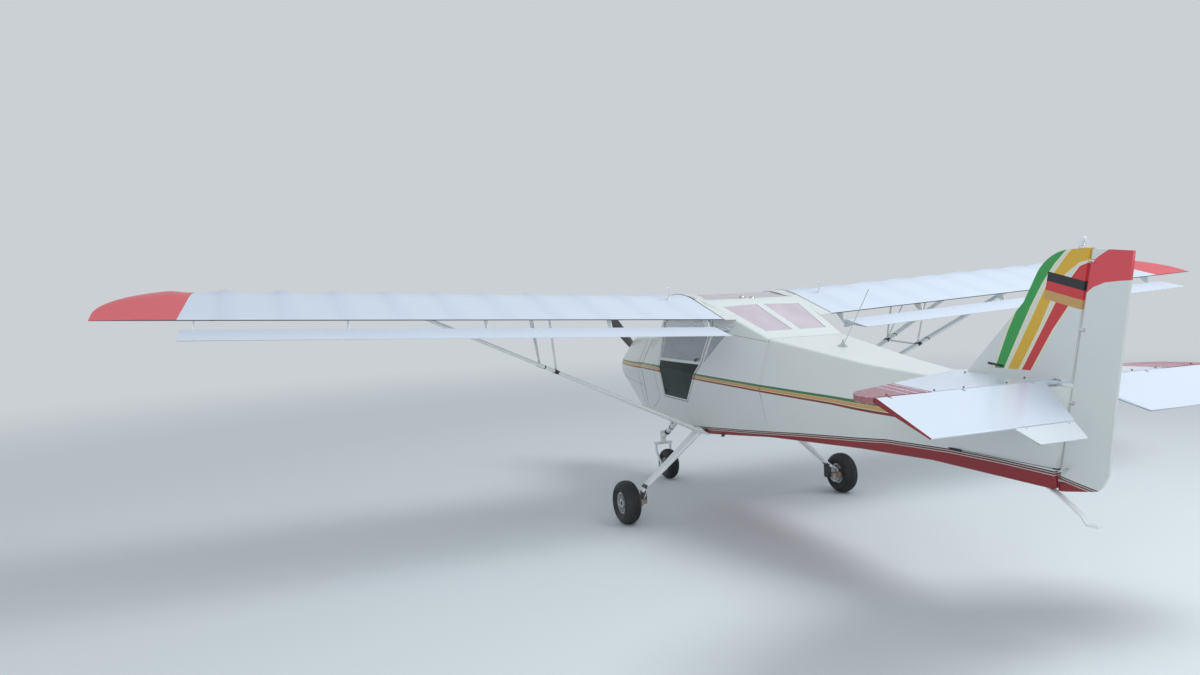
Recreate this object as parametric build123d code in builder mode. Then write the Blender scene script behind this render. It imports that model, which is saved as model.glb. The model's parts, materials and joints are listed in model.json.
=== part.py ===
"""Two-seat high-wing ultralight aircraft on a nose-wheel gear.

All sizes are in millimetres. X runs to the pilot's left, Y runs aft and Z runs up from the ground.
A station is the distance aft of the spinner's tip, and fore_aft turns it into Y, so that the origin
lies on the ground under the middle of the aircraft's length. Heights are above the ground.
"""

from build123d import *
from math import atan2, cos, degrees, radians, sin, tan
import os

os.makedirs("parts", exist_ok=True)

# Overall layout
overall_length = 5505.0
main_axle_station = 1970.0
wing_front_station = 1642.0

# Clearances
running_gap = 0.05
seat_gap = 0.3
moving_gap = 6.0

# Wing
wing_span = 9120.0
wing_root_x = 472.0
wing_chord = 992.0
wing_root_height = 1592.0
wing_dihedral = 2.83
wing_incidence = 4.2
wing_thickness_ratio = 0.147
wing_tip_length = 640.0
wing_nose_ratio = 0.045
wing_back_slope = 13.55
trailing_edge_thickness = 6.0

# Flaperons hang behind and below the wing
flaperon_chord = 262.0
flaperon_inner_x = 576.0
flaperon_outer_x = 4089.0
flaperon_drop = 68.0
flaperon_setback = 22.0
flaperon_droop = 9.0
flaperon_tip_radius = 90.0

# Body
wall = 20.0
pane = 4.0
pane_depth = 3.0
cowl_wall = 10.0
firewall_thickness = 5.0
bulkhead_thickness = 15.0

# Propeller and spinner
thrust_height = 1105.0
propeller_diameter = 1640.0
propeller_clock_angle = 38.0
hub_radius = 62.0
hub_thickness = 70.0
shaft_radius = 25.0
spinner_length = 225.0
spinner_radius = 118.0
spinner_wall = 4.0
blade_slot_length = 104.0
blade_slot_width = 84.0

# Main gear
main_track = 2052.0
main_wheel_diameter = 342.0
main_wheel_width = 132.0
rim_radius = 84.0
gear_leg_chord = 112.0
gear_leg_thickness = 34.0
axle_radius = 16.0
brake_disc_radius = 72.0
brake_disc_thickness = 5.0
brake_disc_x = 945.0
brake_hub_radius = 30.0

# Nose gear
nose_wheel_station = 646.0
nose_wheel_diameter = 288.0
nose_wheel_width = 115.0
nose_rim_radius = 62.0
steering_station = 540.0
steering_head_radius = 27.0
steering_stem_radius = 15.0
steering_head_bottom = 346.0
steering_head_top = 440.0
fork_half_width = 76.0
fork_tube_radius = 11.0
fork_knee_height = 260.0
nose_axle_radius = 8.0
axle_boss_radius = 20.0
axle_boss_depth = 6.0
tow_pin_length = 24.0

# Tail
tail_hinge_slope = 0.1757
tail_hinge_foot_station = 5101.0
tail_hinge_foot_height = 751.0
hinge_pin_radius = 3.0
hinge_lug_thickness = 5.0
fin_thickness = 36.0
rudder_thickness = 32.0
rudder_nose_radius = 15.0
stabilizer_thickness = 30.0
stabilizer_height = 1296.0
elevator_hinge_station = 5090.0
elevator_chord = 330.0
elevator_droop = 24.0
elevator_nose_radius = 14.0

# Doors
door_gap = 6.0
door_frame_width = 12.0
door_rail_height = 22.0
door_swing_room = 8.0
door_hinge_radius = 4.0
door_hinge_height = 1583.0
door_hinge_x = 476.0
door_knuckle_wall = 4.0
door_knuckle_length = 30.0
door_ear_thickness = 5.0


def fore_aft(station):
    """Y of a station."""
    return station - overall_length / 2


tail_top_height = stabilizer_height - stabilizer_thickness / 2

# Body sections, front to back: station, then height and half width of the bottom corner, of the waist
# and of the top corner, then the radius of the corners.
firewall_row = (1100, 760, 390, 1150, 455, 1415, 320, 50)
screen_foot_row = (1230, 738, 385, 1160, 475, 1432, 345, 40)
door_front_row = (1490, 700, 375, 1175, 500, 1603, 410, 25)
wing_front_row = (1640, 676, 365, 1180, 500, 1702, 452, 22)
crest_row = (1940, 648, 360, 1175, 500, 1780, 452, 22)
roof_back_row = (2262, 682, 357, 1155, 487, 1730, 443, 22)
deck_row = (2975, 757, 340, 1125, 420, 1457, 318, 22)
cabin_rows = (firewall_row, screen_foot_row, door_front_row, wing_front_row, crest_row, roof_back_row, deck_row)
tail_rows = (
    deck_row,
    (3870, 802, 262, 1085, 300, 1330, 205, 20),
    (4380, 803, 168, 1062, 192, tail_top_height, 120, 18),
    (5230, 750, 20, 1010, 22, tail_top_height, 20, 8),
)
cowl_rows = (
    firewall_row,
    (820, 690, 300, 1135, 452, 1430, 290, 120),
    (570, 665, 190, 1120, 430, 1425, 225, 185),
    (330, 800, 125, 1108, 335, 1360, 150, 150),
    (250, 885, 80, 1105, 225, 1300, 100, 105),
)


def body_section(row, inset=0.0, shift=0.0):
    """Six-cornered section of the body with round corners, drawn in by inset and moved aft by shift."""
    station, low, low_half, waist, waist_half, high, high_half, corner = row
    with BuildSketch(Plane.XZ.offset(-fore_aft(station + shift))) as section:
        with BuildLine():
            Polyline(
                (low_half - inset, low + inset),
                (waist_half - inset, waist),
                (high_half - inset, high - inset),
                (inset - high_half, high - inset),
                (inset - waist_half, waist),
                (inset - low_half, low + inset),
                close=True,
            )
        make_face()
        fillet(section.vertices(), max(corner - inset, corner / 3))
    return section.sketch


def body_skin(rows, outside, inside, ruled=True):
    """Wall of the body between two insets, open at both ends."""
    with BuildPart() as skin:
        loft(sections=[body_section(row, outside) for row in rows], ruled=ruled)
        loft(sections=[body_section(row, inside) for row in rows], ruled=ruled, mode=Mode.SUBTRACT)
    return skin.part


def side_prism(points, near=0.0, far=700.0):
    """Prism over an outline given as (station, height), from X = near to X = far."""
    with BuildPart() as prism:
        with BuildSketch(Plane.YZ.offset(near)):
            with BuildLine():
                Polyline(*[(fore_aft(station), height) for station, height in points], close=True)
            make_face()
        extrude(amount=far - near)
    return prism.part


def top_prism(points, low=1400.0, high=1900.0):
    """Prism over an outline given as (X, station), from one height to another."""
    with BuildPart() as prism:
        with BuildSketch(Plane.XY.offset(low)):
            with BuildLine():
                Polyline(*[(x, fore_aft(station)) for x, station in points], close=True)
            make_face()
        extrude(amount=high - low)
    return prism.part


def shrunk(points, distance):
    """Outline drawn in by a distance, corner by corner."""
    with BuildSketch() as drawn:
        with BuildLine():
            Polyline(*points, close=True)
        make_face()
        offset(amount=-distance, kind=Kind.INTERSECTION, mode=Mode.REPLACE)
    corners = drawn.face().outer_wire().order_edges()
    return [(edge.position_at(0).X, edge.position_at(0).Y) for edge in corners]


def wedge_section(plane, nose_radius, reach, edge):
    """Round nose about the plane's origin, tapering along its X to a thin back edge."""
    with BuildSketch(plane) as section:
        Circle(nose_radius)
        with BuildLine():
            Polyline(
                (0, nose_radius), (reach, edge / 2), (reach, -edge / 2), (0, -nose_radius), close=True
            )
        make_face()
    return section.sketch


def save(node, name):
    """Label a finished sub-part and write its file."""
    node.part.label = name
    export_step(node.part, f"parts/{name}.step")


# Outlines in side view: station, height
door_sill = ((1500, 924), (1920, 917))
opening_back = ((2262, 1248), (2381, 1530), (2381, 1575))
door_head = ((1572, 1575), (1554, 1255))
door_waist = 1250.0
# The door's back edge stands clear of the opening's, past which it swings
door_back = tuple((station - door_swing_room, height) for station, height in opening_back)
door_opening = (*door_sill, *opening_back, *door_head)
door_outline = (*door_sill, *door_back, *door_head)
quarter_outline = ((2288, 1248), (2425, 1540), (2620, 1540))
boot_outline = ((1100, 700), (1075, 1700), (1560, 1700), (1528, 1255), (1474, 905), (1100, 770))
screen_outline = ((1236, 1436), (1236, 1900), (1632, 1900), (1632, 1604), (1548, 1604), (1538, 1436))

# Outlines in plan: X, station
roof_outline = ((395, 1670), (395, 2225), (-395, 2225), (-395, 1670))
rear_pane_outline = ((343, 2383), (32, 2360), (32, 2850), (262, 2850))

cabin_skin = body_skin(cabin_rows, 0, wall)
cabin_pane = body_skin(cabin_rows, pane_depth, pane_depth + pane)

# Spar tubes across the cabin, which carry the wing roots; columns are station, height, radius
spar_rows = ((1772.0, 1692.0, 22.0), (2342.0, 1641.0, 18.0))
with BuildPart() as spar_tubes:
    for station, height, radius in spar_rows:
        with BuildSketch(Plane.YZ.offset(-wing_root_x)):
            with Locations((fore_aft(station), height)):
                Circle(radius)
        extrude(amount=2 * wing_root_x)
save(spar_tubes, "spar_tubes")

# Cabin: one wall, parted where the panels meet
with BuildPart() as boot_cowl:
    add(cabin_skin)
    add(side_prism(boot_outline, -700, 700), mode=Mode.INTERSECT)
    add(side_prism(screen_outline, -700, 700), mode=Mode.SUBTRACT)
save(boot_cowl, "boot_cowl")

with BuildPart() as cabin_frame:
    add(cabin_skin)
    add(side_prism(boot_outline, -700, 700), mode=Mode.SUBTRACT)
    add(side_prism(screen_outline, -700, 700), mode=Mode.SUBTRACT)
    add(side_prism(shrunk(door_opening, -door_gap), -700, 700), mode=Mode.SUBTRACT)
    add(side_prism(quarter_outline, -700, 700), mode=Mode.SUBTRACT)
    add(top_prism(roof_outline), mode=Mode.SUBTRACT)
    for mirrored in (1, -1):
        pane_points = [(x * mirrored, station) for x, station in rear_pane_outline]
        add(top_prism(pane_points), mode=Mode.SUBTRACT)
    add(spar_tubes.part, mode=Mode.SUBTRACT)
save(cabin_frame, "cabin_frame")

with BuildPart() as windshield:
    add(cabin_pane)
    add(side_prism(screen_outline, -700, 700), mode=Mode.INTERSECT)
save(windshield, "windshield")

with BuildPart() as roof_window:
    add(cabin_pane)
    add(top_prism(roof_outline), mode=Mode.INTERSECT)
save(roof_window, "roof_window")

with BuildPart() as rear_window:
    add(cabin_pane)
    add(top_prism(rear_pane_outline), mode=Mode.INTERSECT)
with BuildPart() as rear_windows:
    add(rear_window.part)
    add(mirror(rear_window.part, about=Plane.YZ))
save(rear_windows, "rear_windows")

with BuildPart() as quarter_windows:
    add(cabin_pane)
    add(side_prism(quarter_outline, -700, 700), mode=Mode.INTERSECT)
save(quarter_windows, "quarter_windows")

# Door: a frame with a sill and a waist rail, clear glass above and a dark panel below, hung at its top
rail_overlap = door_frame_width - door_rail_height / 2
waist_back, waist_front = door_back[0][0], door_head[1][0]
lower_top = ((waist_back, door_waist + rail_overlap), (waist_front, door_waist + rail_overlap))
upper_foot = ((waist_front, door_waist - rail_overlap), (waist_back, door_waist - rail_overlap))
lower_light = (*door_sill, door_back[0], *lower_top)
upper_light = (*upper_foot, *door_back[1:], door_head[0])
hinge_stations = (1650.0, 2310.0)
door_knuckle_radius = door_hinge_radius + door_knuckle_wall
knuckle_arm = door_frame_width - 1
for side_name, mirrored in (("left", 1), ("right", -1)):
    near, far = sorted((mirrored * 100.0, mirrored * 700.0))
    with BuildPart() as door_frame:
        add(cabin_skin)
        add(side_prism(door_outline, near, far), mode=Mode.INTERSECT)
        for light in (lower_light, upper_light):
            add(side_prism(shrunk(light, door_frame_width), near, far), mode=Mode.SUBTRACT)
        for station in hinge_stations:
            with BuildSketch(Plane.XZ.offset(-fore_aft(station))) as knuckle:
                with Locations((mirrored * door_hinge_x, door_hinge_height)):
                    Circle(door_knuckle_radius)
                with Locations((mirrored * (door_hinge_x - 20), door_head[0][1] - knuckle_arm / 2)):
                    Rectangle(42, knuckle_arm)
                with Locations((mirrored * door_hinge_x, door_hinge_height - 11)):
                    Rectangle(12, 22)
                with Locations((mirrored * door_hinge_x, door_hinge_height)):
                    Circle(door_hinge_radius + running_gap, mode=Mode.SUBTRACT)
            extrude(amount=-door_knuckle_length)
    save(door_frame, f"door_frame_{side_name}")
    with BuildPart() as door_glass:
        add(cabin_pane)
        add(side_prism(shrunk(upper_light, door_frame_width), near, far), mode=Mode.INTERSECT)
    save(door_glass, f"door_glass_{side_name}")
    with BuildPart() as door_panel:
        add(cabin_pane)
        add(side_prism(shrunk(lower_light, door_frame_width), near, far), mode=Mode.INTERSECT)
    save(door_panel, f"door_panel_{side_name}")

with BuildPart() as body_block:
    loft(sections=[body_section(row) for row in cabin_rows], ruled=True)

# Hinge pins and their ears above each door
with BuildPart() as door_hinges:
    for mirrored in (1, -1):
        for station in hinge_stations:
            ear_length = door_knuckle_length + 2 * (seat_gap + door_ear_thickness)
            with BuildSketch(Plane.XZ.offset(-fore_aft(station - seat_gap - door_ear_thickness))):
                with Locations((mirrored * (door_hinge_x - 14), door_hinge_height + 4)):
                    Rectangle(44, 24)
            extrude(amount=-ear_length)
            with BuildSketch(Plane.XZ.offset(-fore_aft(station - seat_gap))):
                with Locations((mirrored * (door_hinge_x - 14), door_hinge_height)):
                    Rectangle(50, 40)
            extrude(amount=-(door_knuckle_length + 2 * seat_gap), mode=Mode.SUBTRACT)
    for mirrored in (1, -1):
        for station in hinge_stations:
            with BuildSketch(Plane.XZ.offset(-fore_aft(station - seat_gap - door_ear_thickness))):
                with Locations((mirrored * door_hinge_x, door_hinge_height)):
                    Circle(door_hinge_radius)
            extrude(amount=-ear_length)
    add(body_block.part, mode=Mode.SUBTRACT)
save(door_hinges, "door_hinges")

# Firewall, and the cowl ahead of it
with BuildPart() as firewall:
    extrude(to_extrude=body_section(firewall_row), amount=firewall_thickness)
save(firewall, "firewall")

outlet_half_width = 105.0
outlet_front_station = 720.0
inlet_x = 135.0
inlet_radius = 58.0
shaft_hole_radius = 60.0
with BuildPart() as cowl:
    cowl_sections = [body_section(firewall_row, 0, -firewall_thickness)]
    cowl_sections += [body_section(row) for row in cowl_rows[1:]]
    loft(sections=cowl_sections)
    hollow_sections = [body_section(firewall_row, cowl_wall, -firewall_thickness)]
    hollow_sections += [body_section(row, cowl_wall) for row in cowl_rows[1:-1]]
    hollow_sections += [body_section(cowl_rows[-1], cowl_wall, cowl_wall)]
    loft(sections=hollow_sections, mode=Mode.SUBTRACT)
    with BuildSketch(Plane.XZ.offset(-fore_aft(cowl_rows[-1][0] - 5))):
        with Locations((0, thrust_height)):
            Circle(shaft_hole_radius)
        with Locations((inlet_x, thrust_height), (-inlet_x, thrust_height)):
            Circle(inlet_radius)
    extrude(amount=-120, mode=Mode.SUBTRACT)
    outlet = [(outlet_half_width, outlet_front_station), (outlet_half_width, firewall_row[0])]
    outlet += [(-outlet_half_width, firewall_row[0]), (-outlet_half_width, outlet_front_station)]
    add(top_prism(outlet, 500.0, 850.0), mode=Mode.SUBTRACT)
save(cowl, "cowl")

# Engine as one plain block, with its propeller shaft
engine_length = 470.0
engine_width = 500.0
engine_height = 330.0
engine_front_station = 480.0
shaft_end_station = 175.0
with BuildPart() as engine:
    with BuildSketch(Plane.XZ.offset(-fore_aft(engine_front_station))):
        with Locations((0, thrust_height)):
            RectangleRounded(engine_width, engine_height, 40)
    extrude(amount=-engine_length)
    with BuildSketch(Plane.XZ.offset(-fore_aft(shaft_end_station))):
        with Locations((0, thrust_height)):
            Circle(shaft_radius)
    extrude(amount=-(engine_front_station - shaft_end_station))
    mount_length = firewall_row[0] - firewall_thickness - engine_front_station - engine_length
    with BuildSketch(Plane.XZ.offset(-fore_aft(engine_front_station + engine_length))):
        with Locations((0, thrust_height)):
            with GridLocations(360, 230, 2, 2):
                Circle(14)
    extrude(amount=-mount_length)
save(engine, "engine")

# Propeller: a two-blade wooden one, square to the thrust line
hub_front_station = 160.0
hub_back_station = hub_front_station + hub_thickness
blade_station = hub_front_station + hub_thickness / 2
# Blade sections, root to tip: share of the radius, chord, thickness, pitch angle
blade_rows = (
    (0.065, 74, 44, 52),
    (0.25, 108, 26, 38),
    (0.55, 120, 16, 22),
    (0.85, 96, 10, 15),
    (1.0, 46, 5, 12),
)
clock = radians(propeller_clock_angle)
forward = Vector(0, -1, 0)
blade_way = Vector(sin(clock), 0, cos(clock))
with BuildPart() as propeller:
    with BuildSketch(Plane.XZ.offset(-fore_aft(hub_front_station))):
        with Locations((0, thrust_height)):
            Circle(hub_radius)
            Circle(shaft_radius + running_gap, mode=Mode.SUBTRACT)
    extrude(amount=-hub_thickness)
    for turned in (1, -1):
        blade_sections = []
        for share, chord, thickness, pitch in blade_rows:
            reach = share * propeller_diameter / 2
            origin = Vector(0, fore_aft(blade_station), thrust_height) + blade_way * (turned * reach)
            motion = forward.cross(blade_way * turned)
            chord_way = motion * cos(radians(pitch)) + forward * sin(radians(pitch))
            blade_plane = Plane(origin=origin, x_dir=chord_way, z_dir=blade_way * turned)
            with BuildSketch(blade_plane) as blade_section:
                with BuildLine():
                    back = ThreePointArc((-chord / 2, 0), (0, 0.7 * thickness), (chord / 2, 0))
                    ThreePointArc(back @ 1, (0, -0.3 * thickness), back @ 0)
                make_face()
            blade_sections.append(blade_section.sketch)
        loft(sections=blade_sections)
save(propeller, "propeller")


def nose_dome(length, radius):
    """Pointed dome with its tip at station 0 of its own, along the thrust line."""
    with BuildPart() as dome:
        with BuildSketch(Plane.YZ):
            with BuildLine():
                middle = (length * 0.45, thrust_height + radius * 0.74)
                flank = ThreePointArc((0.0, thrust_height), middle, (length, thrust_height + radius))
                Polyline(flank @ 1, (length, thrust_height), (0.0, thrust_height))
            make_face()
        revolve(axis=Axis((0, 0, thrust_height), (0, 1, 0)))
    return dome.part


with BuildPart() as spinner:
    with Locations((0, fore_aft(0), 0)):
        add(nose_dome(spinner_length, spinner_radius))
    with Locations((0, fore_aft(2 * spinner_wall), 0)):
        add(nose_dome(spinner_length - 3 * spinner_wall, spinner_radius - spinner_wall), mode=Mode.SUBTRACT)
    with BuildSketch(Plane.XZ.offset(-fore_aft(spinner_length - 10))):
        with Locations((0, thrust_height)):
            Circle(hub_radius + seat_gap)
    extrude(amount=-20, mode=Mode.SUBTRACT)
    slot_plane = Plane(origin=(0, fore_aft(blade_station), thrust_height), x_dir=(0, 1, 0), z_dir=blade_way)
    with BuildSketch(slot_plane.offset(-2 * spinner_radius)):
        SlotOverall(blade_slot_length, blade_slot_width)
    extrude(amount=4 * spinner_radius, mode=Mode.SUBTRACT)
save(spinner, "spinner")

# Tail: the hinge line leans aft as it rises
hinge_way = Vector(0, tail_hinge_slope, 1).normalized()


def hinge_station(height):
    """Station of the rudder's hinge line at a height."""
    return tail_hinge_foot_station + tail_hinge_slope * (height - tail_hinge_foot_height)


def behind_hinge(ahead):
    """Prism that holds everything aft of a line set ahead of the rudder's hinge."""
    low, high = 500.0, 2300.0
    front = ((hinge_station(low) - ahead, low), (hinge_station(high) - ahead, high))
    return side_prism((*front, (6200, high), (6200, low)), -300, 300)


def elevator_groove():
    """Cylinder along the elevator's hinge with room for its nose."""
    with BuildPart() as groove:
        with BuildSketch(Plane.YZ.offset(-300)):
            with Locations((fore_aft(elevator_hinge_station), stabilizer_height)):
                Circle(elevator_nose_radius + moving_gap)
        extrude(amount=600)
    return groove.part


notch_depth = 14.0
notch_width = 17.0
lug_radius = 9.0
lug_arm = 45.0
rudder_hinge_heights = (800.0, 1200.0, 1560.0, 1890.0)
elevator_hinge_xs = (180.0, 620.0, 1050.0)


def hinge_notch(plane, depth=notch_depth, width=notch_width, reach=30.0):
    """Room for a lug in the nose of a moving surface, hinge at the plane's origin, back edge along X."""
    with BuildPart() as notch:
        with BuildSketch(plane.offset(-width / 2)):
            with Locations(((depth - reach) / 2, 0)):
                Rectangle(depth + reach, 2 * reach)
        extrude(amount=width)
    return notch.part


def hinge_pin(plane, radius=hinge_pin_radius, width=notch_width):
    """Pin across a notch, let into the surface at both ends."""
    with BuildPart() as pin:
        with BuildSketch(plane.offset(-width / 2 - 6)):
            Circle(radius)
        extrude(amount=width + 12)
    return pin.part


def hinge_lug(plane, radius=hinge_pin_radius, eye=lug_radius, arm=lug_arm, thickness=hinge_lug_thickness):
    """Eye plate around a pin, with an arm ahead of it along the plane's X."""
    with BuildPart() as lug:
        with BuildSketch(plane.offset(-thickness / 2)):
            Circle(eye)
            with Locations((-arm / 2, 0)):
                Rectangle(arm, 2 * eye)
            Circle(radius + running_gap, mode=Mode.SUBTRACT)
        extrude(amount=thickness)
    return lug.part


def rudder_hinge_plane(height):
    """Plane across the rudder's hinge line at a height, X aft."""
    origin = (0, fore_aft(hinge_station(height)), height)
    return Plane(origin=origin, x_dir=(0, 1, 0), z_dir=hinge_way)


def elevator_hinge_plane(x, turned=0.0):
    """Plane across the elevator's hinge at x, X aft and turned down by an angle in radians."""
    origin = (x, fore_aft(elevator_hinge_station), stabilizer_height)
    return Plane(origin=origin, x_dir=(0, cos(turned), -sin(turned)), z_dir=(1, 0, 0))


tail_gap = rudder_nose_radius + moving_gap
with BuildPart() as tail_cone:
    loft(sections=[body_section(row) for row in tail_rows], ruled=True)
    loft(sections=[body_section(row, wall) for row in tail_rows[:3]], ruled=True, mode=Mode.SUBTRACT)
    extrude(to_extrude=body_section(deck_row), amount=-bulkhead_thickness)
    add(behind_hinge(tail_gap), mode=Mode.SUBTRACT)
    add(elevator_groove(), mode=Mode.SUBTRACT)
save(tail_cone, "tail_cone")

# Stabilizer: plan outline with round tips, as X and station
stabilizer_tip_x = 1140.0
stabilizer_back_station = elevator_hinge_station - elevator_nose_radius - moving_gap
with BuildPart() as stabilizer:
    with BuildSketch(Plane.XY.offset(stabilizer_height - stabilizer_thickness / 2)) as stabilizer_plan:
        with BuildLine():
            back_y = fore_aft(stabilizer_back_station)
            lead = Line((0, fore_aft(4392)), (985, fore_aft(4816)))
            tip = ThreePointArc(lead @ 1, (1098, fore_aft(4900)), (stabilizer_tip_x, fore_aft(5020)))
            Polyline(tip @ 1, (stabilizer_tip_x, back_y), (0, back_y), lead @ 0)
        make_face()
        mirror(about=Plane.YZ)
    extrude(amount=stabilizer_thickness)
    fillet(stabilizer.edges().group_by(Axis.Y)[0], stabilizer_thickness * 0.3)
save(stabilizer, "stabilizer")

# Elevator: wedge section about its hinge, cut to its plan outline in its own plane
droop = radians(elevator_droop)
elevator_plane = Plane(
    origin=(0, fore_aft(elevator_hinge_station), stabilizer_height),
    x_dir=(1, 0, 0),
    z_dir=(0, sin(droop), cos(droop)),
)
elevator_tip_x = 1125.0
elevator_back_tip_x = 1088.0
elevator_inner_x = 100.0
elevator_back_inner_x = 252.0
elevator_edge = 7.0
elevator_tube_radius = 11.0
end_lap = 5.0

# Trim tab on the left elevator's trailing edge
tab_pin_radius = 1.5
tab_eye_radius = 5.0
tab_eye_arm = 16.0
tab_eye_thickness = 4.0
tab_notch_depth = 8.0
tab_notch_reach = 14.0
tab_hinge_xs = (300.0, 560.0)
tab_notch_width = 9.0
tab_setback = 8.0
tab_chord = 96.0
tab_thickness = 6.0
tab_droop = 44.0
tab_inner_x = 262.0
tab_outer_x = 620.0
tab_back_outer_x = 548.0
tab_hinge_station = elevator_hinge_station + (elevator_chord + tab_setback) * cos(droop)
tab_hinge_height = stabilizer_height - (elevator_chord + tab_setback) * sin(droop)
tab_way = radians(tab_droop)
tab_plane = Plane(
    origin=(0, fore_aft(tab_hinge_station), tab_hinge_height),
    x_dir=(1, 0, 0),
    z_dir=(0, sin(tab_way), cos(tab_way)),
)


def elevator_cutter():
    """Prism over both halves of the elevator's plan outline, square to its own plane."""
    with BuildPart() as cutter:
        with BuildSketch(elevator_plane.offset(-60)):
            with BuildLine():
                Polyline(
                    (elevator_tip_x, -20),
                    (elevator_tip_x, 0),
                    (elevator_back_tip_x, elevator_chord),
                    (elevator_back_inner_x, elevator_chord),
                    (elevator_inner_x, 0),
                    (elevator_inner_x, -20),
                    close=True,
                )
            make_face()
            mirror(about=Plane.YZ)
        extrude(amount=120)
    return cutter.part


with BuildPart() as elevator:
    across = Plane(origin=elevator_plane.origin, x_dir=elevator_plane.y_dir, z_dir=(1, 0, 0))
    blank_plane = across.offset(-elevator_tip_x - end_lap)
    blank = wedge_section(blank_plane, elevator_nose_radius, elevator_chord, elevator_edge)
    extrude(to_extrude=blank, amount=2 * (elevator_tip_x + end_lap))
    add(elevator_cutter(), mode=Mode.INTERSECT)
    with BuildSketch(elevator_hinge_plane(-elevator_inner_x - end_lap)):
        Circle(elevator_tube_radius)
    extrude(amount=2 * (elevator_inner_x + end_lap))
    for place in elevator_hinge_xs:
        for x in (place, -place):
            add(hinge_notch(elevator_hinge_plane(x, droop)), mode=Mode.SUBTRACT)
            add(hinge_pin(elevator_hinge_plane(x)))
    for x in tab_hinge_xs:
        eye_plane = Plane(origin=tab_plane.origin, x_dir=elevator_plane.y_dir, z_dir=(1, 0, 0)).offset(x)
        add(hinge_lug(eye_plane, tab_pin_radius, tab_eye_radius, tab_eye_arm, tab_eye_thickness))
save(elevator, "elevator")

with BuildPart() as elevator_hinges:
    for place in elevator_hinge_xs:
        for x in (place, -place):
            add(hinge_lug(elevator_hinge_plane(x)))
    add(stabilizer.part, mode=Mode.SUBTRACT)
save(elevator_hinges, "elevator_hinges")

with BuildPart() as trim_tab:
    with BuildSketch(tab_plane.offset(-tab_thickness / 2)):
        with BuildLine():
            front = Line((tab_inner_x, 0), (tab_outer_x, 0))
            Polyline(front @ 1, (tab_back_outer_x, tab_chord), (tab_inner_x, tab_chord), front @ 0)
        make_face()
    extrude(amount=tab_thickness)
    tab_across = Plane(origin=tab_plane.origin, x_dir=tab_plane.y_dir, z_dir=(1, 0, 0))
    with BuildSketch(tab_across.offset(tab_inner_x)):
        Circle(tab_thickness / 2)
    extrude(amount=tab_outer_x - tab_inner_x)
    for x in tab_hinge_xs:
        eye_plane = tab_across.offset(x)
        add(hinge_notch(eye_plane, tab_notch_depth, tab_notch_width, tab_notch_reach), mode=Mode.SUBTRACT)
        add(hinge_pin(eye_plane, tab_pin_radius, tab_notch_width))
save(trim_tab, "trim_tab")

# Fin: outline as station and height, standing on the stabilizer
fin_foot_height = stabilizer_height + stabilizer_thickness / 2
fin_top_height = 1952.0
with BuildPart() as fin:
    with BuildSketch(Plane.YZ.offset(-fin_thickness / 2)) as fin_side:
        with BuildLine():
            foot = (fore_aft(4508), fin_foot_height)
            shoulder = (fore_aft(4991), 1847)
            Polyline(foot, (fore_aft(4902), 1695), shoulder)
            crown = ThreePointArc(shoulder, (fore_aft(5068), 1919), (fore_aft(5196), fin_top_height))
            Polyline(crown @ 1, (fore_aft(5400), fin_top_height), (fore_aft(5400), fin_foot_height), foot)
        make_face()
    extrude(amount=fin_thickness)
    add(behind_hinge(tail_gap), mode=Mode.SUBTRACT)
    add(elevator_groove(), mode=Mode.SUBTRACT)
save(fin, "fin")

# Rudder: wedge section along its hinge, cut to its outline in side view
rudder_edge = 8.0
rudder_reach = 300.0
rudder_top = 1946.0
rudder_foot = ((5070, tail_hinge_foot_height), (tail_hinge_foot_station + 20, tail_hinge_foot_height))
rudder_bottom = ((5300, 783), (5337, 814), (5367, 872))
rudder_back = ((5410, 1235), (5491, 1816), (5505, 1926))
rudder_crown = ((hinge_station(rudder_top), rudder_top), (hinge_station(rudder_top) - 40, rudder_top))
horn_height = 868.0
horn_half_span = 74.0
horn_setback = 14.0
horn_depth = 20.0
horn_thickness = 4.0
hinge_plane = Plane(
    origin=(0, fore_aft(tail_hinge_foot_station), tail_hinge_foot_height), x_dir=(0, 1, 0), z_dir=hinge_way
)
with BuildPart() as rudder:
    blank = wedge_section(hinge_plane.offset(-60), rudder_nose_radius, rudder_reach, rudder_edge)
    extrude(to_extrude=blank, amount=1400)
    add(side_prism((*rudder_foot, *rudder_bottom, *rudder_back, *rudder_crown), -100, 100), mode=Mode.INTERSECT)
    with BuildSketch(rudder_hinge_plane(horn_height)):
        with Locations((horn_setback + horn_depth / 2, 0)):
            SlotOverall(2 * horn_half_span, horn_depth, rotation=90)
        with Locations(*[(horn_setback + horn_depth / 2, side * (horn_half_span - 10)) for side in (1, -1)]):
            Circle(3, mode=Mode.SUBTRACT)
    extrude(amount=horn_thickness)
    for height in rudder_hinge_heights:
        add(hinge_notch(rudder_hinge_plane(height)), mode=Mode.SUBTRACT)
        add(hinge_pin(rudder_hinge_plane(height)))
save(rudder, "rudder")

with BuildPart() as rudder_hinges:
    for height in rudder_hinge_heights:
        add(hinge_lug(rudder_hinge_plane(height)))
    add(fin.part, mode=Mode.SUBTRACT)
    add(tail_cone.part, mode=Mode.SUBTRACT)
save(rudder_hinges, "rudder_hinges")

# Wing section: a flat underside, a round nose and a crest at three tenths of the chord
crest_share = 0.30
back_share = 0.472


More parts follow.
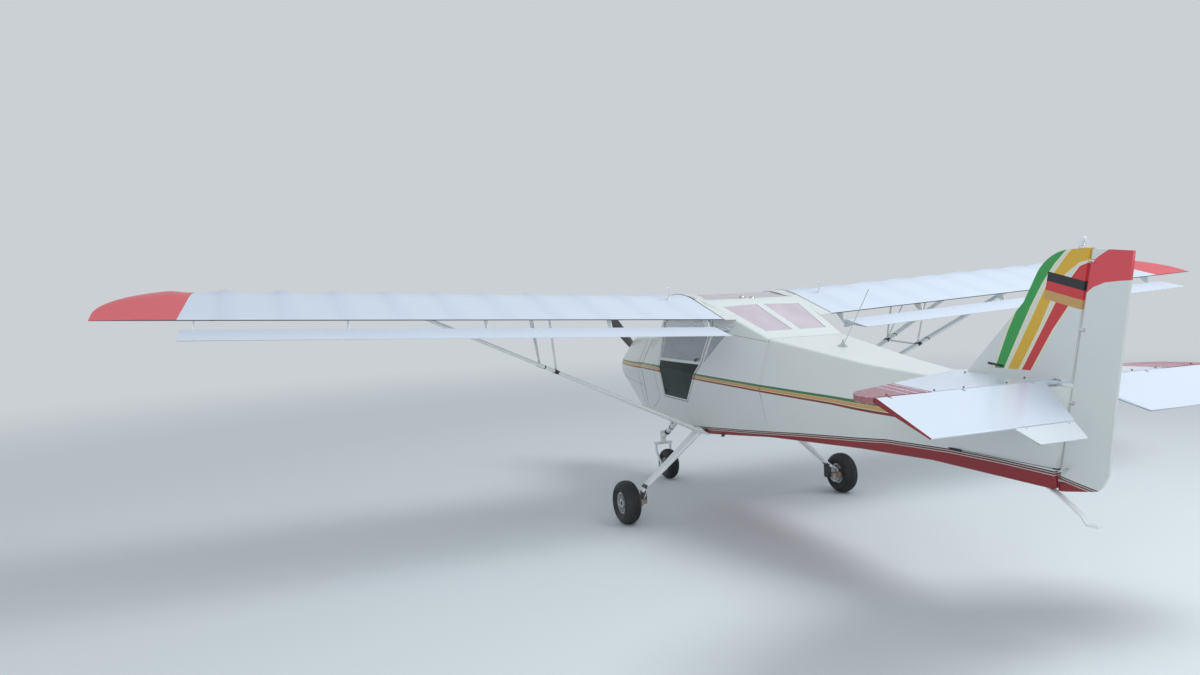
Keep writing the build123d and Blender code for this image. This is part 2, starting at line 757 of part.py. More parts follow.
def wing_profile(plane, chord):
    """Wing section with its trailing edge at the plane's origin and its nose ahead of it."""
    nose_radius = wing_nose_ratio * chord
    edge_height = trailing_edge_thickness * chord / wing_chord
    crest = (-(1 - crest_share) * chord, wing_thickness_ratio * chord)
    run = crest[0] + chord - nose_radius
    rise = crest[1] - nose_radius
    # Radius and start of the front arc, level at the crest and tangent to the nose
    crest_radius = (run**2 + rise**2 - nose_radius**2) / (2 * (rise - nose_radius))
    nose_end = degrees(atan2(crest_radius - rise, -run))
    back_height = edge_height + back_share * chord * tan(radians(wing_back_slope))
    with BuildSketch(plane) as profile:
        with BuildLine():
            nose = CenterArc((nose_radius - chord, nose_radius), nose_radius, 270, nose_end - 270)
            front = TangentArc([nose @ 1, crest], tangent=nose % 1)
            back = TangentArc([crest, (-back_share * chord, back_height)], tangent=front % 1)
            Polyline(back @ 1, (0, edge_height), (0, 0), nose @ 0)
        make_face()
    return profile.sketch


dihedral = radians(wing_dihedral)
incidence = radians(wing_incidence)
wing_back_station = wing_front_station + wing_chord
span_way = Vector(cos(dihedral), 0, sin(dihedral))
panel_length = (wing_span / 2 - wing_root_x) / cos(dihedral)


def wing_plane(distance):
    """Plane across the left wing at a distance out from its root, X aft along the underside."""
    origin = Vector(wing_root_x, fore_aft(wing_back_station), wing_root_height) + span_way * distance
    return Plane(origin=origin, x_dir=(0, cos(incidence), -sin(incidence)), z_dir=span_way)


# Wing tip sections: distance in from the tip, share of the chord
tip_rows = ((wing_tip_length, 1.0), (300, 0.872), (100, 0.62), (6, 0.24))
root_lap = 60.0
with BuildPart() as wing:
    root_profile = wing_profile(wing_plane(-root_lap), wing_chord)
    extrude(to_extrude=root_profile, amount=panel_length - wing_tip_length + root_lap)
    tip_profiles = []
    for inward, share in tip_rows:
        tip_profiles.append(wing_profile(wing_plane(panel_length - inward), wing_chord * share))
    loft(sections=tip_profiles)
    split(bisect_by=Plane.YZ.offset(wing_root_x), keep=Keep.TOP)
save(wing, "wing_left")

with BuildPart() as wing_right:
    add(mirror(wing.part, about=Plane.YZ))
save(wing_right, "wing_right")

# Root fairings fill the space between the wing roots and the cabin
fairing_inner_x = 372.0
with BuildPart() as fairing:
    extrude(to_extrude=wing_profile(wing_plane(-130), wing_chord), amount=160)
    split(bisect_by=Plane.YZ.offset(wing_root_x), keep=Keep.BOTTOM)
    split(bisect_by=Plane.YZ.offset(fairing_inner_x), keep=Keep.TOP)
    add(body_block.part, mode=Mode.SUBTRACT)
    add(spar_tubes.part, mode=Mode.SUBTRACT)
with BuildPart() as root_fairings:
    add(fairing.part)
    add(mirror(fairing.part, about=Plane.YZ))
save(root_fairings, "root_fairings")

# Flaperons: full-span surfaces under the wing's trailing edge, each on a row of brackets
flaperon_nose_radius = 17.0
flaperon_edge = 4.0
bracket_distances = (125.0, 895.0, 1782.0, 2668.0, 3550.0)
bracket_thickness = 6.0
pivot_setback = 8.0
pivot_drop = 106.0
pivot_pin_radius = 4.0
ear_gap = 9.0
ear_thickness = 4.0
up_way = Vector(-sin(dihedral), 0, cos(dihedral))
flaperon_start = (flaperon_inner_x - wing_root_x) / cos(dihedral)
flaperon_length = (flaperon_outer_x - flaperon_inner_x) / cos(dihedral)


def hang_plane(distance, setback, drop, lean=0.0):
    """Plane across the left wing behind and under its trailing edge, X aft and leaning down."""
    origin = Vector(wing_root_x, fore_aft(wing_back_station + setback), wing_root_height)
    origin += span_way * distance - up_way * drop
    back_way = Vector(0, 1, 0) * cos(radians(lean)) - up_way * sin(radians(lean))
    return Plane(origin=origin, x_dir=back_way, z_dir=span_way)


with BuildPart() as flaperon:
    setback = flaperon_setback + flaperon_nose_radius
    flaperon_face = hang_plane(flaperon_start, setback, flaperon_drop, flaperon_droop)
    reach = flaperon_chord - flaperon_nose_radius
    blank = wedge_section(flaperon_face, flaperon_nose_radius, reach, flaperon_edge)
    extrude(to_extrude=blank, amount=flaperon_length)
    tip_plane = Plane(origin=flaperon_face.origin, x_dir=span_way, z_dir=flaperon_face.y_dir)
    with BuildSketch(tip_plane.offset(-50)):
        with BuildLine():
            corner_start = (flaperon_length - flaperon_tip_radius, -reach - 5)
            corner_end = (flaperon_length + 5, flaperon_tip_radius - reach)
            outer = (flaperon_length + 5, -reach - 5)
            ThreePointArc(
                (flaperon_length - flaperon_tip_radius, -reach),
                (
                    flaperon_length - flaperon_tip_radius * (1 - cos(radians(45))),
                    -reach + flaperon_tip_radius * (1 - cos(radians(45))),
                ),
                (flaperon_length, flaperon_tip_radius - reach),
            )
            Polyline(
                (flaperon_length, flaperon_tip_radius - reach),
                corner_end,
                outer,
                corner_start,
                (flaperon_length - flaperon_tip_radius, -reach),
            )
        make_face()
    extrude(amount=100, mode=Mode.SUBTRACT)
    for distance in bracket_distances:
        pivot_plane = hang_plane(distance, pivot_setback, pivot_drop)
        ear_span = ear_gap + 2 * ear_thickness
        with BuildSketch(pivot_plane.offset(-ear_span / 2)):
            with BuildLine():
                Polyline((-8, -6), (8, -9), (90, 14), (90, 30), (20, 40), (-8, 6), close=True)
            make_face()
            Circle(9)
            Circle(pivot_pin_radius + running_gap, mode=Mode.SUBTRACT)
        extrude(amount=ear_span)
        with BuildSketch(pivot_plane.offset(-ear_gap / 2)):
            with Locations((0, 0)):
                Circle(26)
        extrude(amount=ear_gap, mode=Mode.SUBTRACT)
save(flaperon, "flaperon_left")

with BuildPart() as flaperon_right:
    add(mirror(flaperon.part, about=Plane.YZ))
save(flaperon_right, "flaperon_right")

with BuildPart() as bracket_row:
    for distance in bracket_distances:
        pivot_plane = hang_plane(distance, pivot_setback, pivot_drop)
        with BuildSketch(pivot_plane.offset(-bracket_thickness / 2)):
            with BuildLine():
                Polyline((-9, 0), (9, 0), (4, 10), (-36, pivot_drop + 5), (-130, pivot_drop + 14), close=True)
            make_face()
            Circle(9)
        extrude(amount=bracket_thickness)
        pin_length = ear_gap + 2 * ear_thickness + 4
        with BuildSketch(pivot_plane.offset(-pin_length / 2)):
            Circle(pivot_pin_radius)
        extrude(amount=pin_length)
    add(wing.part, mode=Mode.SUBTRACT)
with BuildPart() as flaperon_brackets:
    add(bracket_row.part)
    add(mirror(bracket_row.part, about=Plane.YZ))
save(flaperon_brackets, "flaperon_brackets")

# Lift struts: a V under each wing from the body's bottom corner, with jury struts half way
strut_chord = 62.0
strut_thickness = 24.0
jury_radius = 8.0
jury_brace_radius = 6.0
strut_foot_height = 668.0
strut_foot_x = 352.0
# Column names: station of the foot, station of the top
strut_rows = ((1938.0, 1775.0), (2086.0, 2350.0))
strut_top_x = 2660.0
jury_share = 0.565


def underside_height(x, station):
    """Height of the wing's flat underside."""
    out = x - wing_root_x
    return wing_root_height + out * tan(dihedral) + (wing_back_station - station) * tan(incidence)


def rod(start, end, radius):
    """Round rod between two points."""
    way = end - start
    with BuildPart() as tube:
        with BuildSketch(Plane(origin=start, z_dir=way)):
            Circle(radius)
        extrude(amount=way.length)
    return tube.part


strut_lines = []
for foot_station, top_station in strut_rows:
    foot = Vector(strut_foot_x, fore_aft(foot_station), strut_foot_height)
    top = Vector(strut_top_x, fore_aft(top_station), underside_height(strut_top_x, top_station) + 8)
    strut_lines.append((foot, top))

with BuildPart() as strut_pair:
    for foot, top in strut_lines:
        way = top - foot
        with BuildSketch(Plane(origin=foot, x_dir=(0, 1, 0), z_dir=way)):
            SlotOverall(strut_chord, strut_thickness)
        extrude(amount=way.length)
    add(body_block.part, mode=Mode.SUBTRACT)
    add(wing.part, mode=Mode.SUBTRACT)
with BuildPart() as lift_struts:
    add(strut_pair.part)
    add(mirror(strut_pair.part, about=Plane.YZ))
save(lift_struts, "lift_struts")

front_joint, back_joint = [foot + (top - foot) * jury_share for foot, top in strut_lines]
jury_tops = []
for joint, reach_out, reach_back in ((front_joint, 60, 20), (back_joint, 60, 60)):
    station = joint.Y + overall_length / 2 + reach_back
    x = joint.X + reach_out
    jury_tops.append(Vector(x, fore_aft(station), underside_height(x, station) + 4))
brace_station = front_joint.Y + overall_length / 2 + 150
brace_x = front_joint.X + 120
brace_top = Vector(brace_x, fore_aft(brace_station), underside_height(brace_x, brace_station) + 4)
with BuildPart() as jury_side:
    add(rod(front_joint, jury_tops[0], jury_radius))
    add(rod(back_joint, jury_tops[1], jury_radius))
    add(rod(front_joint, back_joint, jury_radius))
    add(rod(front_joint, brace_top, jury_brace_radius))
    add(strut_pair.part, mode=Mode.SUBTRACT)
    add(wing.part, mode=Mode.SUBTRACT)
with BuildPart() as jury_struts:
    add(jury_side.part)
    add(mirror(jury_side.part, about=Plane.YZ))
save(jury_struts, "jury_struts")

# Main gear: a tapered leg, stub axle, brake and wheel on each side
half_track = main_track / 2
axle_height = main_wheel_diameter / 2
leg_foot = Vector(900, fore_aft(main_axle_station), 245)
leg_head = Vector(372, fore_aft(main_axle_station + 45), 700)
axle_inner_x = 905.0
axle_outer_x = half_track + 44.0
hub_half_width = 48.0
axle_hub_radius = 40.0
with BuildPart() as leg_side:
    leg_way = leg_foot - leg_head
    leg_sections = []
    for place, chord, thickness in ((leg_head, gear_leg_chord, gear_leg_thickness), (leg_foot, 74.0, 26.0)):
        with BuildSketch(Plane(origin=place, x_dir=(0, 1, 0), z_dir=leg_way)) as leg_section:
            SlotOverall(chord, thickness)
        leg_sections.append(leg_section.sketch)
    loft(sections=leg_sections, ruled=True)
    add(body_block.part, mode=Mode.SUBTRACT)
    add(strut_pair.part, mode=Mode.SUBTRACT)
with BuildPart() as main_gear_legs:
    add(leg_side.part)
    add(mirror(leg_side.part, about=Plane.YZ))
save(main_gear_legs, "main_gear_legs")

with BuildPart() as axle_side:
    with BuildSketch(Plane.YZ.offset(axle_inner_x - 40)):
        with Locations((fore_aft(main_axle_station), axle_height)):
            Circle(axle_radius)
    extrude(amount=axle_outer_x - axle_inner_x + 40)
    with BuildSketch(Plane.YZ.offset(axle_inner_x - 40)):
        with Locations((fore_aft(main_axle_station), axle_height + 34)):
            RectangleRounded(64, 116, 12)
    extrude(amount=30)
    add(leg_side.part, mode=Mode.SUBTRACT)
with BuildPart() as main_axles:
    add(axle_side.part)
    add(mirror(axle_side.part, about=Plane.YZ))
save(main_axles, "main_axles")

# Brake callipers: each straddles the back of its disc and is carried by the axle's plate
calliper_near, calliper_far = 926.0, 961.0
calliper_inner, calliper_outer = 48.0, 92.0
calliper_height = 52.0
calliper_lug_height = 32.0
slot_near = brake_disc_x - moving_gap
slot_far = brake_disc_x + brake_disc_thickness + moving_gap
axle_y = fore_aft(main_axle_station)
with BuildPart() as calliper_side:
    with BuildSketch(Plane.YZ.offset(calliper_near)):
        with Locations((axle_y + (calliper_inner + calliper_outer) / 2, axle_height)):
            RectangleRounded(calliper_outer - calliper_inner, calliper_height, 8)
    extrude(amount=calliper_far - calliper_near)
    with BuildSketch(Plane.YZ.offset(axle_inner_x - 20)):
        with Locations((axle_y + calliper_inner, axle_height)):
            Rectangle(44, calliper_lug_height)
    extrude(amount=calliper_near + 8 - axle_inner_x + 20)
    with BuildSketch(Plane.YZ.offset(slot_near)):
        with Locations((axle_y, axle_height)):
            Circle(brake_disc_radius + moving_gap)
    extrude(amount=slot_far - slot_near, mode=Mode.SUBTRACT)
    add(axle_side.part, mode=Mode.SUBTRACT)
with BuildPart() as brake_callipers:
    add(calliper_side.part)
    add(mirror(calliper_side.part, about=Plane.YZ))
save(brake_callipers, "brake_callipers")


hub_share = 0.36
tread_crown = 14.0
lightening_holes = 6
lightening_circle = 55.0
lightening_radius = 8.0


def tyre(width, diameter, bore_radius):
    """Round-shouldered tyre about the X axis at the origin."""
    outer = diameter / 2
    shoulder = width * hub_share
    belly = (outer + bore_radius) / 2
    edge = outer - tread_crown
    with BuildPart() as ring:
        with BuildSketch(Plane.XY):
            with BuildLine():
                left = ThreePointArc((-shoulder, bore_radius), (-width / 2, belly), (-shoulder, edge))
                tread = ThreePointArc(left @ 1, (0, outer), (shoulder, edge))
                right = ThreePointArc(tread @ 1, (width / 2, belly), (shoulder, bore_radius))
                Line(right @ 1, left @ 0)
            make_face()
        revolve(axis=Axis.X)
    return ring.part


def wheel_hub(width, radius, bore, hub_radius):
    """Dished rim and hub about the X axis at the origin."""
    half = width * hub_share
    with BuildPart() as rim:
        with BuildSketch(Plane.XY):
            with BuildLine():
                Polyline(
                    (-half, radius),
                    (half, radius),
                    (half, radius - 10),
                    (14, radius - 16),
                    (12, hub_radius),
                    (half, hub_radius - 4),
                    (half, bore),
                    (-half, bore),
                    (-half, hub_radius - 4),
                    (-12, hub_radius),
                    (-14, radius - 16),
                    (-half, radius - 10),
                    close=True,
                )
            make_face()
        revolve(axis=Axis.X)
    return rim.part


for side_name, mirrored in (("left", 1), ("right", -1)):
    hub_place = (mirrored * half_track, fore_aft(main_axle_station), axle_height)
    with BuildPart() as main_tyre:
        with Locations(hub_place):
            add(tyre(main_wheel_width, main_wheel_diameter, rim_radius))
    save(main_tyre, f"tyre_{side_name}")
    with BuildPart() as main_wheel:
        with Locations(hub_place):
            add(wheel_hub(main_wheel_width, rim_radius, axle_radius + running_gap, axle_hub_radius))
        disc_faces = sorted((mirrored * brake_disc_x, mirrored * (brake_disc_x + brake_disc_thickness)))
        with BuildSketch(Plane.YZ.offset(disc_faces[0])):
            with Locations((hub_place[1], axle_height)):
                Circle(brake_disc_radius)
                Circle(axle_radius + running_gap, mode=Mode.SUBTRACT)
        extrude(amount=brake_disc_thickness)
        with BuildSketch(Plane.YZ.offset(mirrored * brake_disc_x)):
            with Locations((hub_place[1], axle_height)):
                Circle(brake_hub_radius)
                Circle(axle_radius + running_gap, mode=Mode.SUBTRACT)
        extrude(amount=mirrored * (half_track - main_wheel_width * hub_share - brake_disc_x))
        with BuildSketch(Plane.YZ.offset(-mirrored * 2)):
            with Locations((hub_place[1], axle_height)):
                with PolarLocations(lightening_circle, lightening_holes):
                    Circle(lightening_radius)
        extrude(amount=mirrored * 2 * half_track, mode=Mode.SUBTRACT)
    save(main_wheel, f"wheel_{side_name}")

# Nose gear: a raked leg to a steering head, and a trailing fork that turns in it
steering_y = fore_aft(steering_station)
nose_axle = Vector(0, fore_aft(nose_wheel_station), nose_wheel_diameter / 2)
leg_top = Vector(0, fore_aft(1080), 712)
leg_bottom = Vector(0, steering_y, 0.5 * (steering_head_bottom + steering_head_top))
nose_leg_radius = 24.0
shock_radius = 17.0
with BuildPart() as nose_leg:
    with BuildSketch(Plane.XY.offset(steering_head_bottom)):
        with Locations((0, steering_y)):
            Circle(steering_head_radius)
    extrude(amount=steering_head_top - steering_head_bottom)
    add(rod(leg_bottom, leg_top, nose_leg_radius))
    add(rod(leg_bottom + (leg_top - leg_bottom) * 0.34, Vector(0, fore_aft(870), 870), shock_radius))
    with BuildSketch(Plane.XY.offset(leg_top.Z - 36)):
        with Locations((0, fore_aft(1072))):
            RectangleRounded(90, 56, 10)
    extrude(amount=96)
    with BuildSketch(Plane.XY.offset(steering_head_bottom - 1)):
        with Locations((0, steering_y)):
            Circle(steering_stem_radius + running_gap)
    extrude(amount=steering_head_top - steering_head_bottom + 2, mode=Mode.SUBTRACT)
    add(body_block.part, mode=Mode.SUBTRACT)
    add(firewall.part, mode=Mode.SUBTRACT)
    add(engine.part, mode=Mode.SUBTRACT)
save(nose_leg, "nose_leg")

crown_top = steering_head_bottom - seat_gap
crown_thickness = 22.0
boss_face = fork_half_width + fork_tube_radius + 1
with BuildPart() as nose_fork:
    with BuildSketch(Plane.XY.offset(crown_top - crown_thickness)):
        with Locations((0, steering_y)):
            RectangleRounded(2 * fork_half_width + 30, 54, 14)
    extrude(amount=crown_thickness)
    with BuildSketch(Plane.XY.offset(crown_top - 5)):
        with Locations((0, steering_y)):
            Circle(steering_stem_radius)
    extrude(amount=steering_head_top - crown_top + 12)
    with BuildSketch(Plane.XY.offset(steering_head_top + seat_gap)):
        with Locations((0, steering_y)):
            Circle(steering_head_radius)
    extrude(amount=10)
    for mirrored in (1, -1):
        crown_end = Vector(mirrored * fork_half_width, steering_y, crown_top - crown_thickness / 2)
        knee = Vector(mirrored * fork_half_width, steering_y - 4, fork_knee_height)
        axle_end = Vector(mirrored * fork_half_width, nose_axle.Y, nose_axle.Z)
        with BuildLine() as fork_path:
            FilletPolyline(crown_end, knee, axle_end, radius=60)
        with BuildSketch(Plane(origin=crown_end, z_dir=fork_path.line % 0)):
            Circle(fork_tube_radius)
        sweep(path=fork_path.line)
        with BuildSketch(Plane.YZ.offset(mirrored * (fork_half_width - axle_boss_depth))):
            with Locations((nose_axle.Y, nose_axle.Z)):
                Circle(axle_boss_radius)
        extrude(amount=mirrored * (boss_face - fork_half_width + axle_boss_depth))
    with BuildSketch(Plane.YZ.offset(-boss_face - tow_pin_length)):
        with Locations((nose_axle.Y, nose_axle.Z)):
            Circle(nose_axle_radius)
    extrude(amount=2 * (boss_face + tow_pin_length))
save(nose_fork, "nose_fork")

with BuildPart() as nose_tyre:
    with Locations(nose_axle):
        add(tyre(nose_wheel_width, nose_wheel_diameter, nose_rim_radius))
save(nose_tyre, "nose_tyre")
with BuildPart() as nose_wheel:
    with Locations(nose_axle):
        add(wheel_hub(nose_wheel_width, nose_rim_radius, nose_axle_radius + running_gap, 26.0))
save(nose_wheel, "nose_wheel")

# Tail skid: a flat spring blade with a foot
skid_width = 34.0
skid_thickness = 9.0
skid_hole_radius = 6.0
skid_hole_station = 5290.0
skid_line = ((5015, 762), (5098, 722), (5221, 648), (5250, 612), (5313, 612))
with BuildPart() as tail_skid:
    with BuildSketch(Plane.YZ.offset(-skid_width / 2)):
        with BuildLine() as skid_path:
            FilletPolyline(*[(fore_aft(station), height) for station, height in skid_line], radius=14)
        trace(skid_path.line, line_width=skid_thickness)
    extrude(amount=skid_width)
    add(tail_cone.part, mode=Mode.SUBTRACT)
    with BuildSketch(Plane.XY.offset(skid_line[-1][1] - skid_thickness)):
        with Locations((0, fore_aft(skid_hole_station))):
            Circle(skid_hole_radius)
    extrude(amount=2 * skid_thickness, mode=Mode.SUBTRACT)
save(tail_skid, "tail_skid")

# Beacon on the fin
beacon_station = 5245.0
with BuildPart() as beacon:
    with BuildSketch(Plane.XY.offset(fin_top_height)):
        with Locations((0, fore_aft(beacon_station))):
            Circle(26)
    extrude(amount=8)
    with BuildSketch(Plane.XY.offset(fin_top_height + 8)):
        with Locations((0, fore_aft(beacon_station))):
            Circle(22)
    extrude(amount=52)
    fillet(beacon.edges().sort_by(Axis.Z)[-1], 16)
save(beacon, "beacon")

# Whip antenna on the rear deck
antenna_station = 3410.0
deck_slope = (tail_rows[1][5] - deck_row[5]) / (tail_rows[1][0] - deck_row[0])
antenna_foot = Vector(0, fore_aft(antenna_station), deck_row[5] + deck_slope * (antenna_station - deck_row[0]))
with BuildPart() as antenna:
    add(rod(antenna_foot + Vector(0, 0, -6), antenna_foot + Vector(0, 0, 22), 15))
    add(rod(antenna_foot, antenna_foot + Vector(0, 210, 390), 3))
    add(tail_cone.part, mode=Mode.SUBTRACT)
save(antenna, "antenna")

# Cabin floor, seats, panel and sticks
floor_thickness = 8.0
with BuildPart() as inside_block:
    loft(sections=[body_section(row, wall) for row in cabin_rows], ruled=True)

floor_line = ((1105, 795), (1640, 735), (2300, 745), (2960, 800))
with BuildPart() as floor_panel:
    upper = [(fore_aft(station), height) for station, height in floor_line]
    lower = [(y, height - floor_thickness) for y, height in reversed(upper)]
    with BuildSketch(Plane.YZ.offset(-600)):
        with BuildLine():
            Polyline(*upper, *lower, close=True)
        make_face()
    extrude(amount=1200)
    add(inside_block.part, mode=Mode.INTERSECT)
save(floor_panel, "floor_panel")

seat_width = 360.0
seat_x = 190.0
seat_line = ((1795, 905), (1830, 955), (2150, 925), (2330, 1380), (2400, 1370), (2230, 860), (2170, 835))
with BuildPart() as seats:
    for mirrored in (1, -1):
        with BuildSketch(Plane.YZ.offset(mirrored * seat_x - seat_width / 2)) as seat_side:
            with BuildLine():
                Polyline(*[(fore_aft(station), height) for station, height in seat_line], close=True)
            make_face()
            fillet(seat_side.vertices(), 22)
        extrude(amount=seat_width)
save(seats, "seats")

base_foot = 700.0
with BuildPart() as seat_base:
    with BuildSketch(Plane.YZ.offset(-seat_x - 150)):
        with BuildLine():
            Polyline(
                (fore_aft(1850), base_foot),
                (fore_aft(1850), 1000),
                (fore_aft(2190), 1000),
                (fore_aft(2190), base_foot),
                close=True,
            )
        make_face()
    extrude(amount=2 * seat_x + 300)
    add(seats.part, mode=Mode.SUBTRACT)
    add(floor_panel.part, mode=Mode.SUBTRACT)
    split(bisect_by=Plane.XY.offset(737), keep=Keep.TOP)
save(seat_base, "seat_base")

# Instrument panel: an upright plate and a shelf from the boot cowl to it
panel_station = 1392.0
panel_bottom = 1190.0
panel_top = 1425.0
shelf_height = 1380.0
sheet_thickness = 4.0
with BuildPart() as instrument_panel:
    with BuildSketch(Plane.XZ.offset(-fore_aft(panel_station))):
        with Locations((0, (panel_bottom + panel_top) / 2)):
            Rectangle(1200, panel_top - panel_bottom)
    extrude(amount=-sheet_thickness)
    with BuildSketch(Plane.XY.offset(shelf_height)):
        with Locations((0, fore_aft((screen_foot_row[0] + panel_station) / 2))):
            Rectangle(1200, panel_station - screen_foot_row[0])
    extrude(amount=sheet_thickness)
    add(inside_block.part, mode=Mode.INTERSECT)
save(instrument_panel, "instrument_panel")

# Rudder pedals stand on the floor ahead of each seat
pedal_station = 1300.0
pedal_height = 905.0
pedal_spread = 72.0
pedal_half_width = 42.0
pedal_foot_station = pedal_station + 12
floor_slope = (floor_line[1][1] - floor_line[0][1]) / (floor_line[1][0] - floor_line[0][0])
pedal_foot_height = floor_line[0][1] + floor_slope * (pedal_foot_station - floor_line[0][0]) - floor_thickness / 2
with BuildPart() as rudder_pedals:
    for seat_side in (1, -1):
        for foot_side in (1, -1):
            x = seat_side * seat_x + foot_side * pedal_spread
            pedal_top = Vector(x, fore_aft(pedal_station), pedal_height)
            add(rod(Vector(x, fore_aft(pedal_foot_station), pedal_foot_height), pedal_top, 7))
            across_way = Vector(pedal_half_width, 0, 0)
            add(rod(pedal_top - across_way, pedal_top + across_way, 9))
    add(floor_panel.part, mode=Mode.SUBTRACT)
save(rudder_pedals, "rudder_pedals")

stick_radius = 10.0
with BuildPart() as control_sticks:
    for mirrored in (1, -1):
        foot = Vector(mirrored * seat_x, fore_aft(1690), 735)
        grip = Vector(mirrored * seat_x, fore_aft(1730), 1090)
        add(rod(foot, grip, stick_radius))
        add(rod(grip, grip + (grip - foot).normalized() * 110, 16))
    add(floor_panel.part, mode=Mode.SUBTRACT)
save(control_sticks, "control_sticks")
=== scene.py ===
"""Dresses a two-seat, strut-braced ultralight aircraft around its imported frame.

Lengths are in metres in the frame's own axes: X to the pilot's left, Y aft and Z up from the ground.
A station is the distance aft of the spinner's tip.
"""

import json
import logging
import math
from dataclasses import dataclass, field
from enum import Enum
from typing import Callable, Iterable, Sequence

import bmesh
import bpy
from mathutils import Matrix, Vector
from mathutils.bvhtree import BVHTree

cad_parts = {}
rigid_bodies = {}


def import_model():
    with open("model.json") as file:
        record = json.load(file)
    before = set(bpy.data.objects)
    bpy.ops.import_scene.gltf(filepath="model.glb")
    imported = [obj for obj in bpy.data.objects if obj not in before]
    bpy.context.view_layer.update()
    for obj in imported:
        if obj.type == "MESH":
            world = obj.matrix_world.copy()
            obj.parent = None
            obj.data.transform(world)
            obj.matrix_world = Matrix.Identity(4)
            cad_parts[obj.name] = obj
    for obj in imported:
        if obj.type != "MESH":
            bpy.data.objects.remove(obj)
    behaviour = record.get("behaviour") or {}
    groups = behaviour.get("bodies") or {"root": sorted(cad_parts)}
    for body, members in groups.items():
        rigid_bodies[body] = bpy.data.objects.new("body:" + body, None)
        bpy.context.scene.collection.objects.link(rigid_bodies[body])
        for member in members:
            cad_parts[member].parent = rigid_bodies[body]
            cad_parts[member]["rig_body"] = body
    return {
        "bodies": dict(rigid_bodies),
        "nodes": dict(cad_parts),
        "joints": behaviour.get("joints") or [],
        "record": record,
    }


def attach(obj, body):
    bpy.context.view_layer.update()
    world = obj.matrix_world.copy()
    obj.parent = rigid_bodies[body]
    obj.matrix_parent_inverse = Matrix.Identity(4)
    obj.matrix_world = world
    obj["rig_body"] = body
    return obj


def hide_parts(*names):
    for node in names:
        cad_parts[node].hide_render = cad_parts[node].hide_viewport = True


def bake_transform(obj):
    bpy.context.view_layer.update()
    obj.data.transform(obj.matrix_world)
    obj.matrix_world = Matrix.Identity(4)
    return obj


LOG = logging.getLogger("aircraft")
LENGTH = 5.505
Colour = tuple[float, float, float]
Point = tuple[float, float, float]
Profile = tuple[tuple[float, float], ...]
Hit = tuple[Vector, Vector]
Socket = bpy.types.NodeSocket
Material = bpy.types.Material
Mesh = bmesh.types.BMesh
Piece = bpy.types.Object


def aft(station: float) -> float:
    """Turns a station into the frame's Y."""
    return station - LENGTH / 2


class Side(Enum):
    """The two sides of the aircraft, with the sign of X on each."""

    LEFT = 1
    RIGHT = -1

    @property
    def word(self) -> str:
        """The side's name as the CAD nodes spell it."""
        return self.name.lower()

    def turn(self, point: Sequence[float]) -> Vector:
        """Moves a point given for the left side to this side."""
        return Vector((point[0] * self.value, point[1], point[2]))


# ---------------------------------------------------------------- material writing


